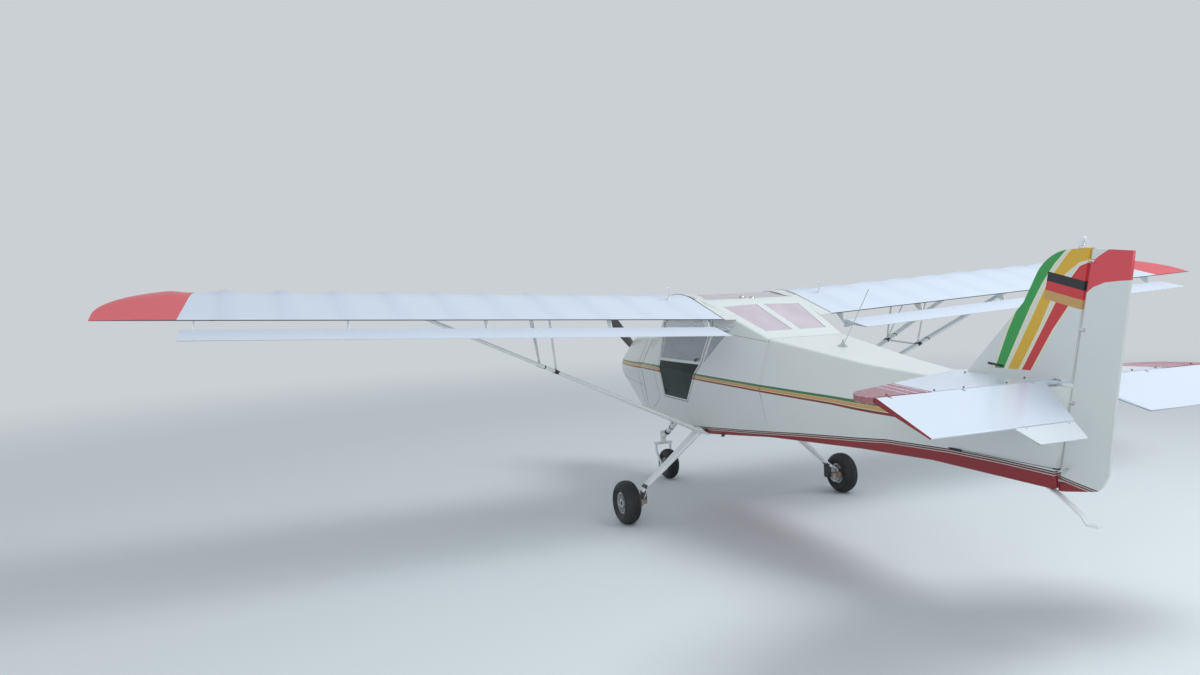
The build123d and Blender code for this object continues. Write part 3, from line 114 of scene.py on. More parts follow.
class Graph:
    """Writes the node tree of one material on Object coordinates."""

    def __init__(self, name: str) -> None:
        """Starts a material with a Principled shader.

        Args:
            name: the material's name.
        """
        self.material = bpy.data.materials.new(name)
        self.material.use_nodes = True
        self.tree = self.material.node_tree
        self.shader = self.tree.nodes["Principled BSDF"]
        self._place = None
        self._axes = None

    def node(self, kind: str, **settings: object) -> bpy.types.Node:
        """Adds a node and sets its properties.

        Args:
            kind: the node's type name.
            settings: properties by name.

        Returns:
            The new node.
        """
        made = self.tree.nodes.new(kind)
        for key, value in settings.items():
            setattr(made, key, value)
        return made

    def feed(self, socket: Socket, value: object) -> None:
        """Links a socket's value, or sets it where the value is plain."""
        if isinstance(value, Socket):
            self.tree.links.new(value, socket)
        elif isinstance(value, tuple) and socket.type == "RGBA":
            socket.default_value = (*value, 1.0)
        else:
            socket.default_value = value

    def place(self) -> Socket:
        """The Object coordinates."""
        if self._place is None:
            self._place = self.node("ShaderNodeTexCoord").outputs["Object"]
        return self._place

    def axes(self) -> tuple[Socket, ...]:
        """The X, Y and Z of the Object coordinates."""
        if self._axes is None:
            split = self.node("ShaderNodeSeparateXYZ")
            self.feed(split.inputs[0], self.place())
            self._axes = tuple(split.outputs)
        return self._axes

    def math(self, operation: str, *terms: object) -> Socket:
        """Adds a Math node.

        Args:
            operation: the node's operation.
            terms: one to three sockets or numbers.

        Returns:
            The result's socket.
        """
        made = self.node("ShaderNodeMath", operation=operation)
        for socket, term in zip(made.inputs, terms):
            self.feed(socket, term)
        return made.outputs[0]

    def minus(self, first: object, second: object) -> Socket:
        """The first value less the second."""
        return self.math("SUBTRACT", first, second)

    def over(self, value: object, limit: object) -> Socket:
        """A mask that is 1 where a value is above a limit."""
        return self.math("GREATER_THAN", value, limit)

    def under(self, value: object, limit: object) -> Socket:
        """A mask that is 1 where a value is below a limit."""
        return self.math("LESS_THAN", value, limit)

    def span(self, value: object, low: float, high: float) -> Socket:
        """A mask that is 1 where the value lies between two numbers."""
        return self.math("COMPARE", value, (low + high) / 2, (high - low) / 2)

    def ramp(self, value: object, low: float, high: float, start: float = 0.0, end: float = 1.0) -> Socket:
        """A smooth step of a value from low to high, giving start to end."""
        made = self.node("ShaderNodeMapRange", interpolation_type="SMOOTHSTEP")
        for socket, term in zip(made.inputs, (value, low, high, start, end)):
            self.feed(socket, term)
        return made.outputs[0]

    def both(self, first: object, second: object) -> Socket:
        """A mask where two masks meet."""
        return self.math("MULTIPLY", first, second)

    def mix(self, share: object, first: object, second: object) -> Socket:
        """A colour between two, by a share or a mask."""
        made = self.node("ShaderNodeMix", data_type="RGBA")
        self.feed(made.inputs["Factor"], share)
        self.feed(made.inputs[6], first)
        self.feed(made.inputs[7], second)
        return made.outputs[2]

    def noise(self, scale: float, detail: float = 3.0, stretch: Point = (1.0, 1.0, 1.0)) -> Socket:
        """A noise pattern, drawn out along the axes by a stretch."""
        mapping = self.node("ShaderNodeMapping")
        self.feed(mapping.inputs["Vector"], self.place())
        mapping.inputs["Scale"].default_value = stretch
        made = self.node("ShaderNodeTexNoise")
        self.feed(made.inputs["Vector"], mapping.outputs[0])
        made.inputs["Scale"].default_value = scale
        made.inputs["Detail"].default_value = detail
        return made.outputs[0]

    def curve(self, value: object, points: Sequence[tuple[float, float]]) -> Socket:
        """A straight-run function of a value through points, level past its ends.

        Args:
            value: the socket to read.
            points: pairs of value and result, in order.

        Returns:
            The result's socket.
        """
        xs = [p[0] for p in points]
        ys = [p[1] for p in points]
        low, high = min(ys), max(ys) + 1e-6
        share = self.node("ShaderNodeMapRange", clamp=True)
        for socket, term in zip(share.inputs, (value, xs[0], xs[-1], 0.0, 1.0)):
            self.feed(socket, term)
        made = self.node("ShaderNodeFloatCurve")
        line = made.mapping.curves[0]
        for x, y in points[1:-1]:
            line.points.new((x - xs[0]) / (xs[-1] - xs[0]), (y - low) / (high - low))
        line.points[0].location = (0.0, (ys[0] - low) / (high - low))
        line.points[-1].location = (1.0, (ys[-1] - low) / (high - low))
        for point in line.points:
            point.handle_type = "VECTOR"
        made.mapping.update()
        self.feed(made.inputs["Value"], share.outputs[0])
        return self.math("MULTIPLY_ADD", made.outputs[0], high - low, low)

    def bump(self, height: object, depth: float, strength: float = 1.0) -> None:
        """Adds relief to the shader.

        Args:
            height: the socket that gives the height.
            depth: how far a height of 1 stands out.
            strength: the share of it that shows.
        """
        made = self.node("ShaderNodeBump")
        made.inputs["Strength"].default_value = strength
        made.inputs["Distance"].default_value = depth
        self.feed(made.inputs["Height"], height)
        normal = self.shader.inputs["Normal"]
        if normal.links:
            self.feed(made.inputs["Normal"], normal.links[0].from_socket)
        self.feed(normal, made.outputs[0])

    def set(self, **values: object) -> None:
        """Sets the shader's sockets, with spaces written as underscores."""
        for key, value in values.items():
            self.feed(self.shader.inputs[key.replace("_", " ")], value)


@dataclass(frozen=True)
class Finish:
    """A surface: its colour, gloss and the fine wear on it."""

    name: str
    colour: Colour
    roughness: float = 0.35
    metallic: float = 0.0
    coat: float = 0.0
    grime: float = 0.05
    grain: float = 90.0
    relief: float = 0.00006
    stain: float = 0.6
    splash: tuple[float, float] = (0.55, 0.95)
    coat_roughness: float = 0.12

    def start(self) -> tuple[Graph, Socket]:
        """Opens the material.

        Returns:
            The graph, and a socket with the base colour and its slight unevenness.
        """
        graph = Graph(self.name)
        stain = graph.ramp(graph.noise(1.1, 2.0), 0.3, 0.8, 0.0, self.grime)
        dark = tuple(part * self.stain for part in self.colour)
        shade = graph.mix(stain, self.colour, dark)
        low = graph.ramp(graph.axes()[2], *self.splash, self.grime * 1.6, 0.0)
        dust = graph.both(low, graph.ramp(graph.noise(5.0, 3.0), 0.3, 0.75))
        return graph, graph.mix(dust, shade, DUST)

    def close(self, graph: Graph, shade: Socket) -> Material:
        """Finishes the material with its colour, gloss and grain.

        Args:
            graph: the material's graph.
            shade: the socket with its colour.

        Returns:
            The material.
        """
        gloss = graph.ramp(graph.noise(3.0, 1.0), 0.2, 0.9, self.roughness * 0.95, self.roughness * 1.1)
        graph.set(Base_Color=shade, Roughness=gloss, Metallic=self.metallic)
        graph.set(Coat_Weight=self.coat, Coat_Roughness=self.coat_roughness)
        graph.bump(graph.noise(self.grain, 2.0), self.relief)
        return graph.material

    def pattern(self, graph: Graph, shade: Socket) -> Socket:
        """Draws what is special to the finish; a plain one adds nothing.

        Args:
            graph: the material's graph.
            shade: the socket with the colour so far.

        Returns:
            The socket with the colour after it.
        """
        return shade

    def material(self) -> Material:
        """The material of this finish."""
        graph, shade = self.start()
        return self.close(graph, self.pattern(graph, shade))


@dataclass(frozen=True)
class Glazing:
    """Thin clear or tinted plastic glazing that lets light through."""

    name: str
    tint: Colour
    cover: float = 0.25
    roughness: float = 0.04
    coat: float = 0.6
    shine: float = 0.5

    def material(self) -> Material:
        """Clear plastic with a faint haze where it has been wiped.

        Returns:
            The material.
        """
        graph = Graph(self.name)
        wiped = graph.noise(5.0, 1.0, (1.0, 0.25, 1.0))
        haze = graph.ramp(wiped, 0.4, 0.8, self.roughness, self.roughness + 0.03)
        veil = graph.ramp(wiped, 0.35, 0.85, self.cover * 0.9, self.cover * 1.15)
        graph.set(Base_Color=self.tint, Roughness=haze, Alpha=veil, IOR=1.45, Coat_Weight=self.coat)
        graph.set(Specular_IOR_Level=self.shine)
        graph.bump(graph.noise(1.6, 1.0), 0.0006, 0.1)
        return graph.material


WHITE: Colour = (0.715, 0.735, 0.71)
CLOTH_WHITE: Colour = (0.68, 0.73, 0.82)
DUST: Colour = (0.36, 0.33, 0.26)
GREEN: Colour = (0.035, 0.34, 0.075)
GOLD: Colour = (0.74, 0.44, 0.04)
RED: Colour = (0.64, 0.045, 0.05)
CORAL: Colour = (0.72, 0.075, 0.095)
MAROON: Colour = (0.27, 0.014, 0.02)
WINE: Colour = (0.055, 0.012, 0.016)
BLUSH: Colour = (0.66, 0.50, 0.46)
OLIVE: Colour = (0.06, 0.18, 0.07)
AMBER: Colour = (0.60, 0.34, 0.12)
BRICK: Colour = (0.24, 0.035, 0.03)
CREAM: Colour = (0.80, 0.76, 0.56)
BLACK: Colour = (0.02, 0.02, 0.022)
EARTH: Colour = (0.10, 0.095, 0.075)


@dataclass(frozen=True)
class BodyPaint(Finish):
    """The body's cream-white with its side stripes and the dark red band along its bottom edge."""

    waist: tuple[tuple[float, float, float], ...] = (
        # Y, top of the green stripe, bottom of the red stripe
        (-2.50, 1.166, 1.133),
        (-2.18, 1.176, 1.135),
        (-1.2755, 1.192, 1.136),
        (-0.5615, 1.166, 1.113),
        (0.0095, 1.147, 1.094),
        (0.5105, 1.131, 1.076),
        (0.9085, 1.119, 1.063),
        (1.2295, 1.107, 1.041),
        (1.50, 1.095, 1.028),
    )
    waist_end: float = 1.47
    stripes: tuple[tuple[Colour, float, float], ...] = (
        # Colour, then the share of the stripes' height from the top
        (OLIVE, 0.0, 0.29),
        (AMBER, 0.31, 0.68),
        (CREAM, 0.68, 0.74),
        (BRICK, 0.74, 1.0),
    )
    belly: Profile = (
        # Y, top of the wide band
        (-1.10, 0.662),
        (-0.92, 0.676),
        (-0.7605, 0.690),
        (-0.3385, 0.728),
        (-0.1515, 0.743),
        (0.5635, 0.808),
        (1.1005, 0.848),
        (1.3295, 0.865),
        (1.7555, 0.864),
        (2.0545, 0.850),
        (2.3235, 0.830),
        (2.46, 0.815),
    )
    bands: tuple[tuple[Colour, float, float, float], ...] = (
        # Colour, foot and top above the band's edge, and the Y at which it starts
        (BLUSH, 0.0, 0.022, -0.95),
        (MAROON, -1.0, 0.0, -0.90),
        (WINE, 0.005, 0.0125, -1.02),
        (WINE, 0.0175, 0.0245, -1.10),
    )

    def pattern(self, graph: Graph, shade: Socket) -> Socket:
        """Draws the waist stripes and the band along the belly."""
        _, along, up = graph.axes()
        top = graph.curve(along, [(y, high) for y, high, _ in self.waist])
        bottom = graph.curve(along, [(y, low) for y, _, low in self.waist])
        share = graph.math("DIVIDE", graph.minus(top, up), graph.minus(top, bottom))
        ahead = graph.under(along, self.waist_end)
        for colour, low, high in self.stripes:
            shade = graph.mix(graph.both(graph.span(share, low, high), ahead), shade, colour)
        rise = graph.minus(up, graph.curve(along, self.belly))
        for colour, low, high, start in self.bands:
            begun = graph.over(along, start)
            shade = graph.mix(graph.both(graph.span(rise, low, high), begun), shade, colour)
        return shade


@dataclass(frozen=True)
class FinPaint(Finish):
    """The fin's three bands that bend over at its top, and a plain tilted tricolour on them."""

    bands: tuple[tuple[Colour, tuple[tuple[float, float], ...], tuple[tuple[float, float], ...]], ...] = (
        # Colour, then the front and the back edge as Z and Y
        (GREEN,
         ((1.31, 1.930), (1.37, 1.968), (1.549, 2.048), (1.696, 2.128), (1.748, 2.160), (1.80, 2.15), (1.96, 2.20)),
         ((1.31, 1.998), (1.366, 2.027), (1.551, 2.125), (1.671, 2.191), (1.791, 2.266), (1.883, 2.338), (1.96, 2.42))),
        (GOLD,
         ((1.31, 2.026), (1.362, 2.053), (1.552, 2.163), (1.786, 2.295), (1.853, 2.349), (1.919, 2.407), (1.96, 2.45)),
         ((1.31, 2.086), (1.353, 2.114), (1.554, 2.237), (1.696, 2.311), (1.832, 2.401), (1.887, 2.484), (1.93, 2.75))),
        (RED,
         ((1.31, 2.112), (1.354, 2.138), (1.555, 2.261), (1.696, 2.346), (1.826, 2.446), (1.868, 2.484), (1.91, 2.62)),
         ((1.31, 2.164), (1.352, 2.191), (1.556, 2.322), (1.681, 2.420), (1.733, 2.500), (1.761, 2.548), (1.80, 2.75))),
    )
    edge: float = 0.012
    foot: float = 1.345
    flag_corner: tuple[float, float] = (2.304, 1.848)
    flag_along: tuple[float, float] = (0.968, -0.251)
    flag_length: float = 0.218
    flag_height: float = 0.138
    flag_lean: float = 0.05

    def bar(self, graph: Graph, foot: float, top: float) -> Socket:
        """A mask over one bar of the tricolour, from one share of its height to another."""
        _, along, up = graph.axes()
        right, fall = self.flag_along
        y = graph.minus(along, self.flag_corner[0])
        z = graph.minus(up, self.flag_corner[1])
        run = graph.math("ADD", graph.math("MULTIPLY", y, right), graph.math("MULTIPLY", z, fall))
        drop = graph.minus(graph.math("MULTIPLY", y, fall), graph.math("MULTIPLY", z, right))
        run = graph.minus(run, graph.math("MULTIPLY", drop, self.flag_lean))
        inside = graph.span(run, 0.0, self.flag_length)
        return graph.both(inside, graph.span(drop, foot * self.flag_height, top * self.flag_height))

    def pattern(self, graph: Graph, shade: Socket) -> Socket:
        """Draws the three bands and the tricolour."""
        _, along, up = graph.axes()
        for colour, front, back in self.bands:
            first, last = graph.curve(up, front), graph.curve(up, back)
            for tone, extra in ((CREAM, self.edge), (colour, 0.0)):
                after = graph.over(along, graph.minus(first, extra))
                before = graph.under(along, graph.math("ADD", last, extra))
                band = graph.both(graph.both(after, before), graph.over(up, self.foot))
                shade = graph.mix(band, shade, tone)
        for colour, foot, top in ((BLACK, 0.0, 0.333), (RED, 0.333, 0.667), (AMBER, 0.667, 1.0)):
            shade = graph.mix(self.bar(graph, foot, top), shade, colour)
        return shade


@dataclass(frozen=True)
class RudderPaint(Finish):
    """White below a coral-red top whose lower edge curves back."""

    lower_edge: Profile = (
        (2.50, 1.728),
        (2.551, 1.765),
        (2.612, 1.786),
        (2.683, 1.791),
        (2.76, 1.793),
    )
    wedge: Profile = ((2.55, 1.885), (2.582, 1.910), (2.633, 1.938), (2.70, 1.96))
    heel: Profile = ((2.33, 0.812), (2.385, 0.800), (2.442, 0.788), (2.567, 0.766), (2.64, 0.752))
    bands: tuple[tuple[Colour, float, float], ...] = (
        # Colour, then foot and top above the heel's line
        (BLUSH, 0.0, 0.020),
        (MAROON, -1.0, 0.0),
        (WINE, 0.005, 0.0115),
        (WINE, 0.0165, 0.0225),
    )

    def pattern(self, graph: Graph, shade: Socket) -> Socket:
        """Draws the coral-red top and the foot's bands."""
        _, along, up = graph.axes()
        above = graph.over(up, graph.curve(along, self.lower_edge))
        below = graph.under(up, graph.curve(along, self.wedge))
        shade = graph.mix(graph.both(above, below), shade, CORAL)
        rise = graph.minus(up, graph.curve(along, self.heel))
        for colour, low, high in self.bands:
            shade = graph.mix(graph.span(rise, low, high), shade, colour)
        return shade


@dataclass(frozen=True)
class TailPaint(Finish):
    """White cloth whose tips carry rows of thin dark red lines."""

    inner_front: tuple[float, float] = (0.671, 1.8735)
    inner_back: tuple[float, float] = (0.784, 2.3075)
    pitch: float = 0.012
    fill: float = 0.74
    light_lines: tuple[float, ...] = (0.20, 0.26, 0.32)
    light_slope: float = 0.26
    light_width: float = 0.008
    hinge_line: float = 2.325
    mid_height: float = 1.296
    flat_from: float = 0.0138
    rim_tone: Colour = (0.40, 0.15, 0.16)
    elevator_edge: Profile = ((2.33, 1.1235), (2.651, 1.0835))

    def pattern(self, graph: Graph, shade: Socket) -> Socket:
        """Draws the tips' lines and the elevator's red rim."""
        across, along, up = graph.axes()
        out = graph.math("ABSOLUTE", across)
        tip = self.tip(graph)
        row = graph.math("FRACT", graph.math("DIVIDE", graph.minus(out, self.tip_start(graph)), self.pitch))
        lines = graph.under(row, self.fill)
        slanted = graph.minus(out, graph.math("MULTIPLY", along, self.light_slope))
        for place in self.light_lines:
            near = graph.span(slanted, place, place + self.light_width)
            lines = graph.both(lines, graph.minus(1.0, near))
        shade = graph.mix(graph.both(tip, lines), shade, MAROON)
        flat = graph.over(graph.math("ABSOLUTE", graph.minus(up, self.mid_height)), self.flat_from)
        shade = graph.mix(graph.both(tip, graph.minus(1.0, flat)), shade, self.rim_tone)
        past_edge = graph.over(out, graph.curve(along, self.elevator_edge))
        return graph.mix(graph.both(graph.over(along, self.hinge_line), past_edge), shade, MAROON)

    def tip_start(self, graph: Graph) -> Socket:
        """How far out the striped tip starts at each Y."""
        return graph.curve(graph.axes()[1], [self.inner_front[::-1], self.inner_back[::-1]])

    def tip(self, graph: Graph) -> Socket:
        """A mask over the stabilizer's striped tips."""
        across, along, _ = graph.axes()
        outside = graph.over(graph.math("ABSOLUTE", across), self.tip_start(graph))
        return graph.both(outside, graph.under(along, self.hinge_line))

    def close(self, graph: Graph, shade: Socket) -> Material:
        """Finishes the material and takes the shine off the striped tips.

        Args:
            graph: the material's graph.
            shade: the socket with its colour.

        Returns:
            The material.
        """
        made = super().close(graph, shade)
        tip = self.tip(graph)
        graph.set(Coat_Weight=graph.math("MULTIPLY_ADD", tip, -self.coat, self.coat))
        graph.set(Roughness=graph.math("MULTIPLY_ADD", tip, 0.4, self.roughness))
        return made


@dataclass(frozen=True)
class WingPaint(Finish):
    """Doped cloth with tapes over its ribs and a red tip that starts on a slanted line."""

    tip_line: Profile = ((-0.81, 4.03), (-0.1185, 4.105))
    first_rib: float = 0.70
    rib_pitch: float = 0.35
    tape_width: float = 0.045
    tape_height: float = 0.0006
    tape_edge: float = 0.003
    # Painted shade: a blue-grey tone beside each rib, fading aft, stands in for the shade on the scalloped cloth.
    slope_reach: tuple[float, float] = (0.02, 0.11)
    slope_fade: tuple[float, ...] = (-1.05, -0.45, 1.0, 0.3)
    slope_share: float = 0.42
    slope_tone: Colour = (0.40, 0.47, 0.62)
    rear_face: float = -0.1193
    shade_of_gap: Colour = (0.06, 0.07, 0.10)

    def pattern(self, graph: Graph, shade: Socket) -> Socket:
        """Draws the red tip, a painted shade beside the ribs, a painted shade on the rear face and the tapes over them.
        """
        across, along, _ = graph.axes()
        out = graph.math("ABSOLUTE", across)
        start = graph.curve(along, self.tip_line)
        place = graph.minus(out, self.first_rib - self.rib_pitch / 2)
        phase = graph.math("FRACT", graph.math("DIVIDE", place, self.rib_pitch))
        from_rib = graph.math("ABSOLUTE", graph.minus(phase, 0.5))
        far = graph.math("MULTIPLY", from_rib, self.rib_pitch)
        # Painted shade: darkens the cloth beside each rib towards a blue-grey, most near the front.
        shade_beside_rib = graph.ramp(far, *self.slope_reach, self.slope_share, 0.0)
        painted_shade_mask = graph.both(shade_beside_rib, graph.ramp(along, *self.slope_fade))
        shade = graph.mix(painted_shade_mask, shade, self.slope_tone)
        shade = graph.mix(graph.over(out, start), shade, CORAL)
        shade = graph.mix(graph.over(along, self.rear_face), shade, self.shade_of_gap)
        tape = graph.ramp(far, self.tape_width / 2, self.tape_width / 2 + self.tape_edge, 1.0, 0.0)
        graph.bump(tape, self.tape_height)
        return shade


@dataclass(frozen=True)
class Weave(Finish):
    """Woven cover cloth with a fine check of threads."""

    thread: float = 0.0022

    def pattern(self, graph: Graph, shade: Socket) -> Socket:
        """Raises the threads."""
        across, along, up = graph.axes()
        turn = math.tau / self.thread
        warp = graph.math("SINE", graph.math("MULTIPLY", across, turn))
        weft = graph.math("SINE", graph.math("MULTIPLY", graph.math("ADD", along, up), turn))
        graph.bump(graph.math("MULTIPLY", warp, weft), 0.0004)
        graph.set(Sheen_Weight=0.3)
        return shade


@dataclass(frozen=True)
class Rubber(Finish):
    """Tyre rubber, dusty where it meets the grass."""

    def pattern(self, graph: Graph, shade: Socket) -> Socket:
        """Flecks the rubber with dust."""
        fleck = graph.ramp(graph.noise(26.0, 5.0), 0.45, 0.8, 0.0, 0.15)
        return graph.mix(fleck, shade, EARTH)


# ---------------------------------------------------------------- mesh helpers


def linked(name: str, data: bpy.types.ID) -> Piece:
    """Puts a new object with its data into the scene."""
    made = bpy.data.objects.new(name, data)
    bpy.context.scene.collection.objects.link(made)
    return made


def finished(mesh: Mesh, name: str, material: Material, smooth: float = 35.0) -> Piece:
    """Turns a bmesh into a piece with its material.

    Args:
        mesh: the shape, which is freed.
        name: the piece's name.
        material: its finish.
        smooth: faces that meet at less than this angle, in degrees, look smooth.

    Returns:
        The piece's object.
    """
    bmesh.ops.remove_doubles(mesh, verts=mesh.verts, dist=1e-6)
    bmesh.ops.recalc_face_normals(mesh, faces=mesh.faces)
    data = bpy.data.meshes.new(name)
    mesh.to_mesh(data)
    mesh.free()
    data.materials.append(material)
    data.shade_smooth()
    data.set_sharp_from_angle(angle=math.radians(smooth))
    return linked(name, data)


def weighted(piece: Piece) -> None:
    """Keeps a piece's large faces flat in shading beside their round edges."""
    modifier = piece.modifiers.new("weighted", "WEIGHTED_NORMAL")
    modifier.keep_sharp = True
    modifier.weight = 100


def merged_copy(node: str, dist: float = 2e-5) -> Mesh:
    """A closed copy of a CAD node's mesh, its loose triangles joined.

    Args:
        node: the CAD node's name.
        dist: corners closer than this become one.

    Returns:
        The copy.
    """
    mesh = bmesh.new()
    mesh.from_mesh(bpy.data.objects[node].data)
    bmesh.ops.remove_doubles(mesh, verts=mesh.verts, dist=dist)
    bmesh.ops.dissolve_degenerate(mesh, edges=mesh.edges, dist=1e-6)
    return mesh


def halve(mesh: Mesh, place: Sequence[float], normal: Sequence[float], clear: bool = False) -> None:
    """Cuts a mesh along a plane, and clears what lies past it where that is asked."""
    geometry = mesh.verts[:] + mesh.edges[:] + mesh.faces[:]
    bmesh.ops.bisect_plane(mesh, geom=geometry, dist=1e-6, plane_co=place, plane_no=normal, clear_outer=clear)


def cut_along(mesh: Mesh, places: Iterable[Point], normal: Point) -> None:
    """Cuts new edges into a mesh where planes cross it.

    Args:
        mesh: the mesh to cut.
        places: a point on each plane.
        normal: the planes' normal.
    """
    for place in places:
        halve(mesh, place, normal)


def cone(mesh: Mesh, place: Vector, way: Vector, foot: float, top: float, depth: float, sides: int) -> None:
    """Adds a capped cone or cylinder.

    Args:
        mesh: the mesh to add to.
        place: its middle.
        way: the direction from its foot to its top.
        foot: the foot's radius.
        top: the top's radius.
        depth: its length.
        sides: its sides.
    """
    matrix = Matrix.Translation(place) @ way.to_track_quat("Z", "Y").to_matrix().to_4x4()
    bmesh.ops.create_cone(mesh, cap_ends=True, segments=sides, radius1=foot, radius2=top, depth=depth, matrix=matrix)


def tube(mesh: Mesh, start: Sequence[float], end: Sequence[float], radius: float, segments: int = 12) -> None:
    """Adds a capped round bar between two points.

    Args:
        mesh: the mesh to add to.
        start: one end's centre.
        end: the other end's centre.
        radius: its radius.
        segments: its sides.
    """
    first, last = Vector(start), Vector(end)
    way = last - first
    cone(mesh, (first + last) / 2, way, radius, radius, way.length, segments)


def block(mesh: Mesh, centre: Sequence[float], size: Sequence[float]) -> None:
    """Adds a box.

    Args:
        mesh: the mesh to add to.
        centre: its centre.
        size: its three lengths.
    """
    bmesh.ops.create_cube(mesh, size=1.0, matrix=Matrix.Translation(centre) @ Matrix.Diagonal((*size, 1.0)))


def soften(mesh: Mesh, width: float, segments: int = 2, angle: float = 30.0) -> None:
    """Bevels a mesh's sharp edges.

    Args:
        mesh: the mesh.
        width: the bevel's width.
        segments: its steps.
        angle: edges sharper than this are bevelled, in degrees.
    """
    limit = math.radians(angle)
    sharp = [e for e in mesh.edges if len(e.link_faces) == 2 and e.calc_face_angle(0.0) > limit]
    bmesh.ops.bevel(
        mesh, geom=sharp, offset=width, affect="EDGES", segments=segments, profile=0.5, material=-1, clamp_overlap=True
    )


def loft(mesh: Mesh, rings: Sequence[Sequence[Vector]]) -> None:
    """Skins a run of rings and closes both its ends.

    Args:
        mesh: the mesh to add to.
        rings: the rings in order, each the same number of corners.
    """
    loops = []
    for ring in rings:
        verts = [mesh.verts.new(corner) for corner in ring]
        loops.append([mesh.edges.new((verts[index - 1], verts[index])) for index in range(len(verts))])
    for first, second in zip(loops, loops[1:]):
        bmesh.ops.bridge_loops(mesh, edges=first + second)
    for loop in (loops[0], loops[-1]):
        bmesh.ops.contextual_create(mesh, geom=loop)


def around(count: int, start: float = 0.0) -> list[tuple[float, float]]:
    """The cosines and sines of even steps round a circle, the first of them some steps on."""
    turns = [math.tau * (index + start) / count for index in range(count)]
    return [(math.cos(turn), math.sin(turn)) for turn in turns]


def flowing(points: Sequence[Sequence[float]], steps: int = 6) -> list[Vector]:
    """A smooth line through points.

    Args:
        points: the points that it passes through.
        steps: how many stretches it has between two of them.

    Returns:
        The line's points.
    """
    knots = [Vector(point) for point in points]
    ends = [knots[0] * 2 - knots[1], *knots, knots[-1] * 2 - knots[-2]]
    line = []
    for before, first, second, after in zip(ends, ends[1:], ends[2:], ends[3:]):
        for step in range(steps):
            t = step / steps
            bend = first * 2 + (second - before) * t + (before * 2 - first * 5 + second * 4 - after) * t * t
            line.append((bend + (first * 3 - before - second * 3 + after) * t**3) / 2)
    return [*line, knots[-1]]


def pipe(mesh: Mesh, points: Sequence[Sequence[float]], radius: float, sides: int = 8, steps: int = 6) -> None:
    """Runs a round bar along a smooth line.

    Args:
        mesh: the mesh to add to.
        points: the points that the line passes through.
        radius: the bar's radius.
        sides: its sides.
        steps: how many stretches it has between two points.
    """
    line = flowing(points, steps)
    up = Vector((0.31, 0.2, 0.93))
    rings = []
    for index, place in enumerate(line):
        way = (line[min(index + 1, len(line) - 1)] - line[max(index - 1, 0)]).normalized()
        across = way.cross(up).normalized()
        up = across.cross(way)
        rings.append([place + (across * wide + up * high) * radius for wide, high in around(sides)])
    loft(mesh, rings)


def strap(mesh: Mesh, places: Sequence[tuple[Vector, Vector]], width: float, thickness: float) -> None:
    """Lays a flat strip on a surface.

    Args:
        mesh: the mesh to add to.
        places: points on the surface, each with the surface's normal.
        width: the strip's width.
        thickness: how far it stands above the surface, and reaches below it.
    """
    if len(places) < 2:
        return
    rings = []
    for index, (place, normal) in enumerate(places):
        way = places[min(index + 1, len(places) - 1)][0] - places[max(index - 1, 0)][0]
        across = way.cross(normal).normalized() * (width / 2)
        rise = normal * thickness
        rings.append([place - across - rise, place + across - rise, place + across + rise, place - across + rise])
    loft(mesh, rings)


def turned(mesh: Mesh, profile: Sequence[tuple[float, float]], centre: Sequence[float], way: Sequence[float],
           steps: int = 32, closed: bool = False) -> None:
    """Spins a profile about an axis.

    Args:
        mesh: the mesh to add to.
        profile: pairs of the distance along the axis and the distance from it.
        centre: the axis's origin.
        way: the axis's direction.
        steps: how many faces go round.
        closed: whether the profile's last point joins its first.
    """
    axis = Vector(way).normalized()
    out = axis.orthogonal().normalized()
    verts = [mesh.verts.new(Vector(centre) + axis * along + out * far) for along, far in profile]
    pairs = list(zip(verts, verts[1:])) + ([(verts[-1], verts[0])] if closed else [])
    edges = [mesh.edges.new(pair) for pair in pairs]
    bmesh.ops.spin(mesh, geom=verts + edges, cent=centre, axis=axis, angle=math.tau, steps=steps, use_merge=True)


def bolt(mesh: Mesh, place: Sequence[float], way: Sequence[float], radius: float = 0.005) -> None:
    """Adds a six-sided bolt head on its washer.

    Args:
        mesh: the mesh to add to.
        place: the middle of the washer's foot.
        way: the direction that the head faces.
        radius: the head's radius.
    """
    axis = Vector(way).normalized()
    for share, wide, tall, sides in ((0.15, 1.45, 0.3, 16), (0.75, 1.0, 0.9, 6), (1.35, 0.55, 0.3, 12)):
        place_up = Vector(place) + axis * (radius * share)
        cone(mesh, place_up, axis, radius * wide, radius * wide * 0.92, radius * tall, sides)


def stud(mesh: Mesh, place: Vector, normal: Vector, radius: float = 0.003) -> None:
    """Adds a low domed rivet head on a surface."""
    cone(mesh, place + normal * (radius * 0.1), normal, radius, radius * 0.5, radius * 0.6, 8)


def studs(mesh: Mesh, places: Iterable[Hit], radius: float, lift: float = 0.0) -> None:
    """Adds rivet heads at places on a surface, each raised by a lift."""
    for place, normal in places:
        stud(mesh, place + normal * lift, normal, radius)


def sleeve(node: str, centre: Sequence[float], way: Sequence[float], width: float, grow: float,
           reach: float = 0.2) -> Mesh:
    """A band that fits closely round a bar of a CAD node.

    Args:
        node: the CAD node.
        centre: the band's middle.
        way: the bar's direction.
        width: the band's length along the bar.
        grow: how far it stands out from the bar.
        reach: what lies further than this from the middle is left out.

    Returns:
        The band's mesh.
    """
    axis, middle = Vector(way).normalized(), Vector(centre)
    mesh = merged_copy(node)
    for sign in (1, -1):
        halve(mesh, middle + axis * (sign * width / 2), axis * sign, clear=True)
    far = [vert for vert in mesh.verts if (vert.co - middle).length > reach]
    bmesh.ops.delete(mesh, geom=far, context="VERTS")
    rim = [edge for edge in mesh.edges if edge.is_boundary]
    bmesh.ops.holes_fill(mesh, edges=rim)
    bmesh.ops.recalc_face_normals(mesh, faces=mesh.faces)
    mesh.normal_update()
    for vert in mesh.verts:
        out = vert.normal - axis * vert.normal.dot(axis)
        vert.co += out.normalized() * grow if out.length > 0.05 else Vector()
    return mesh


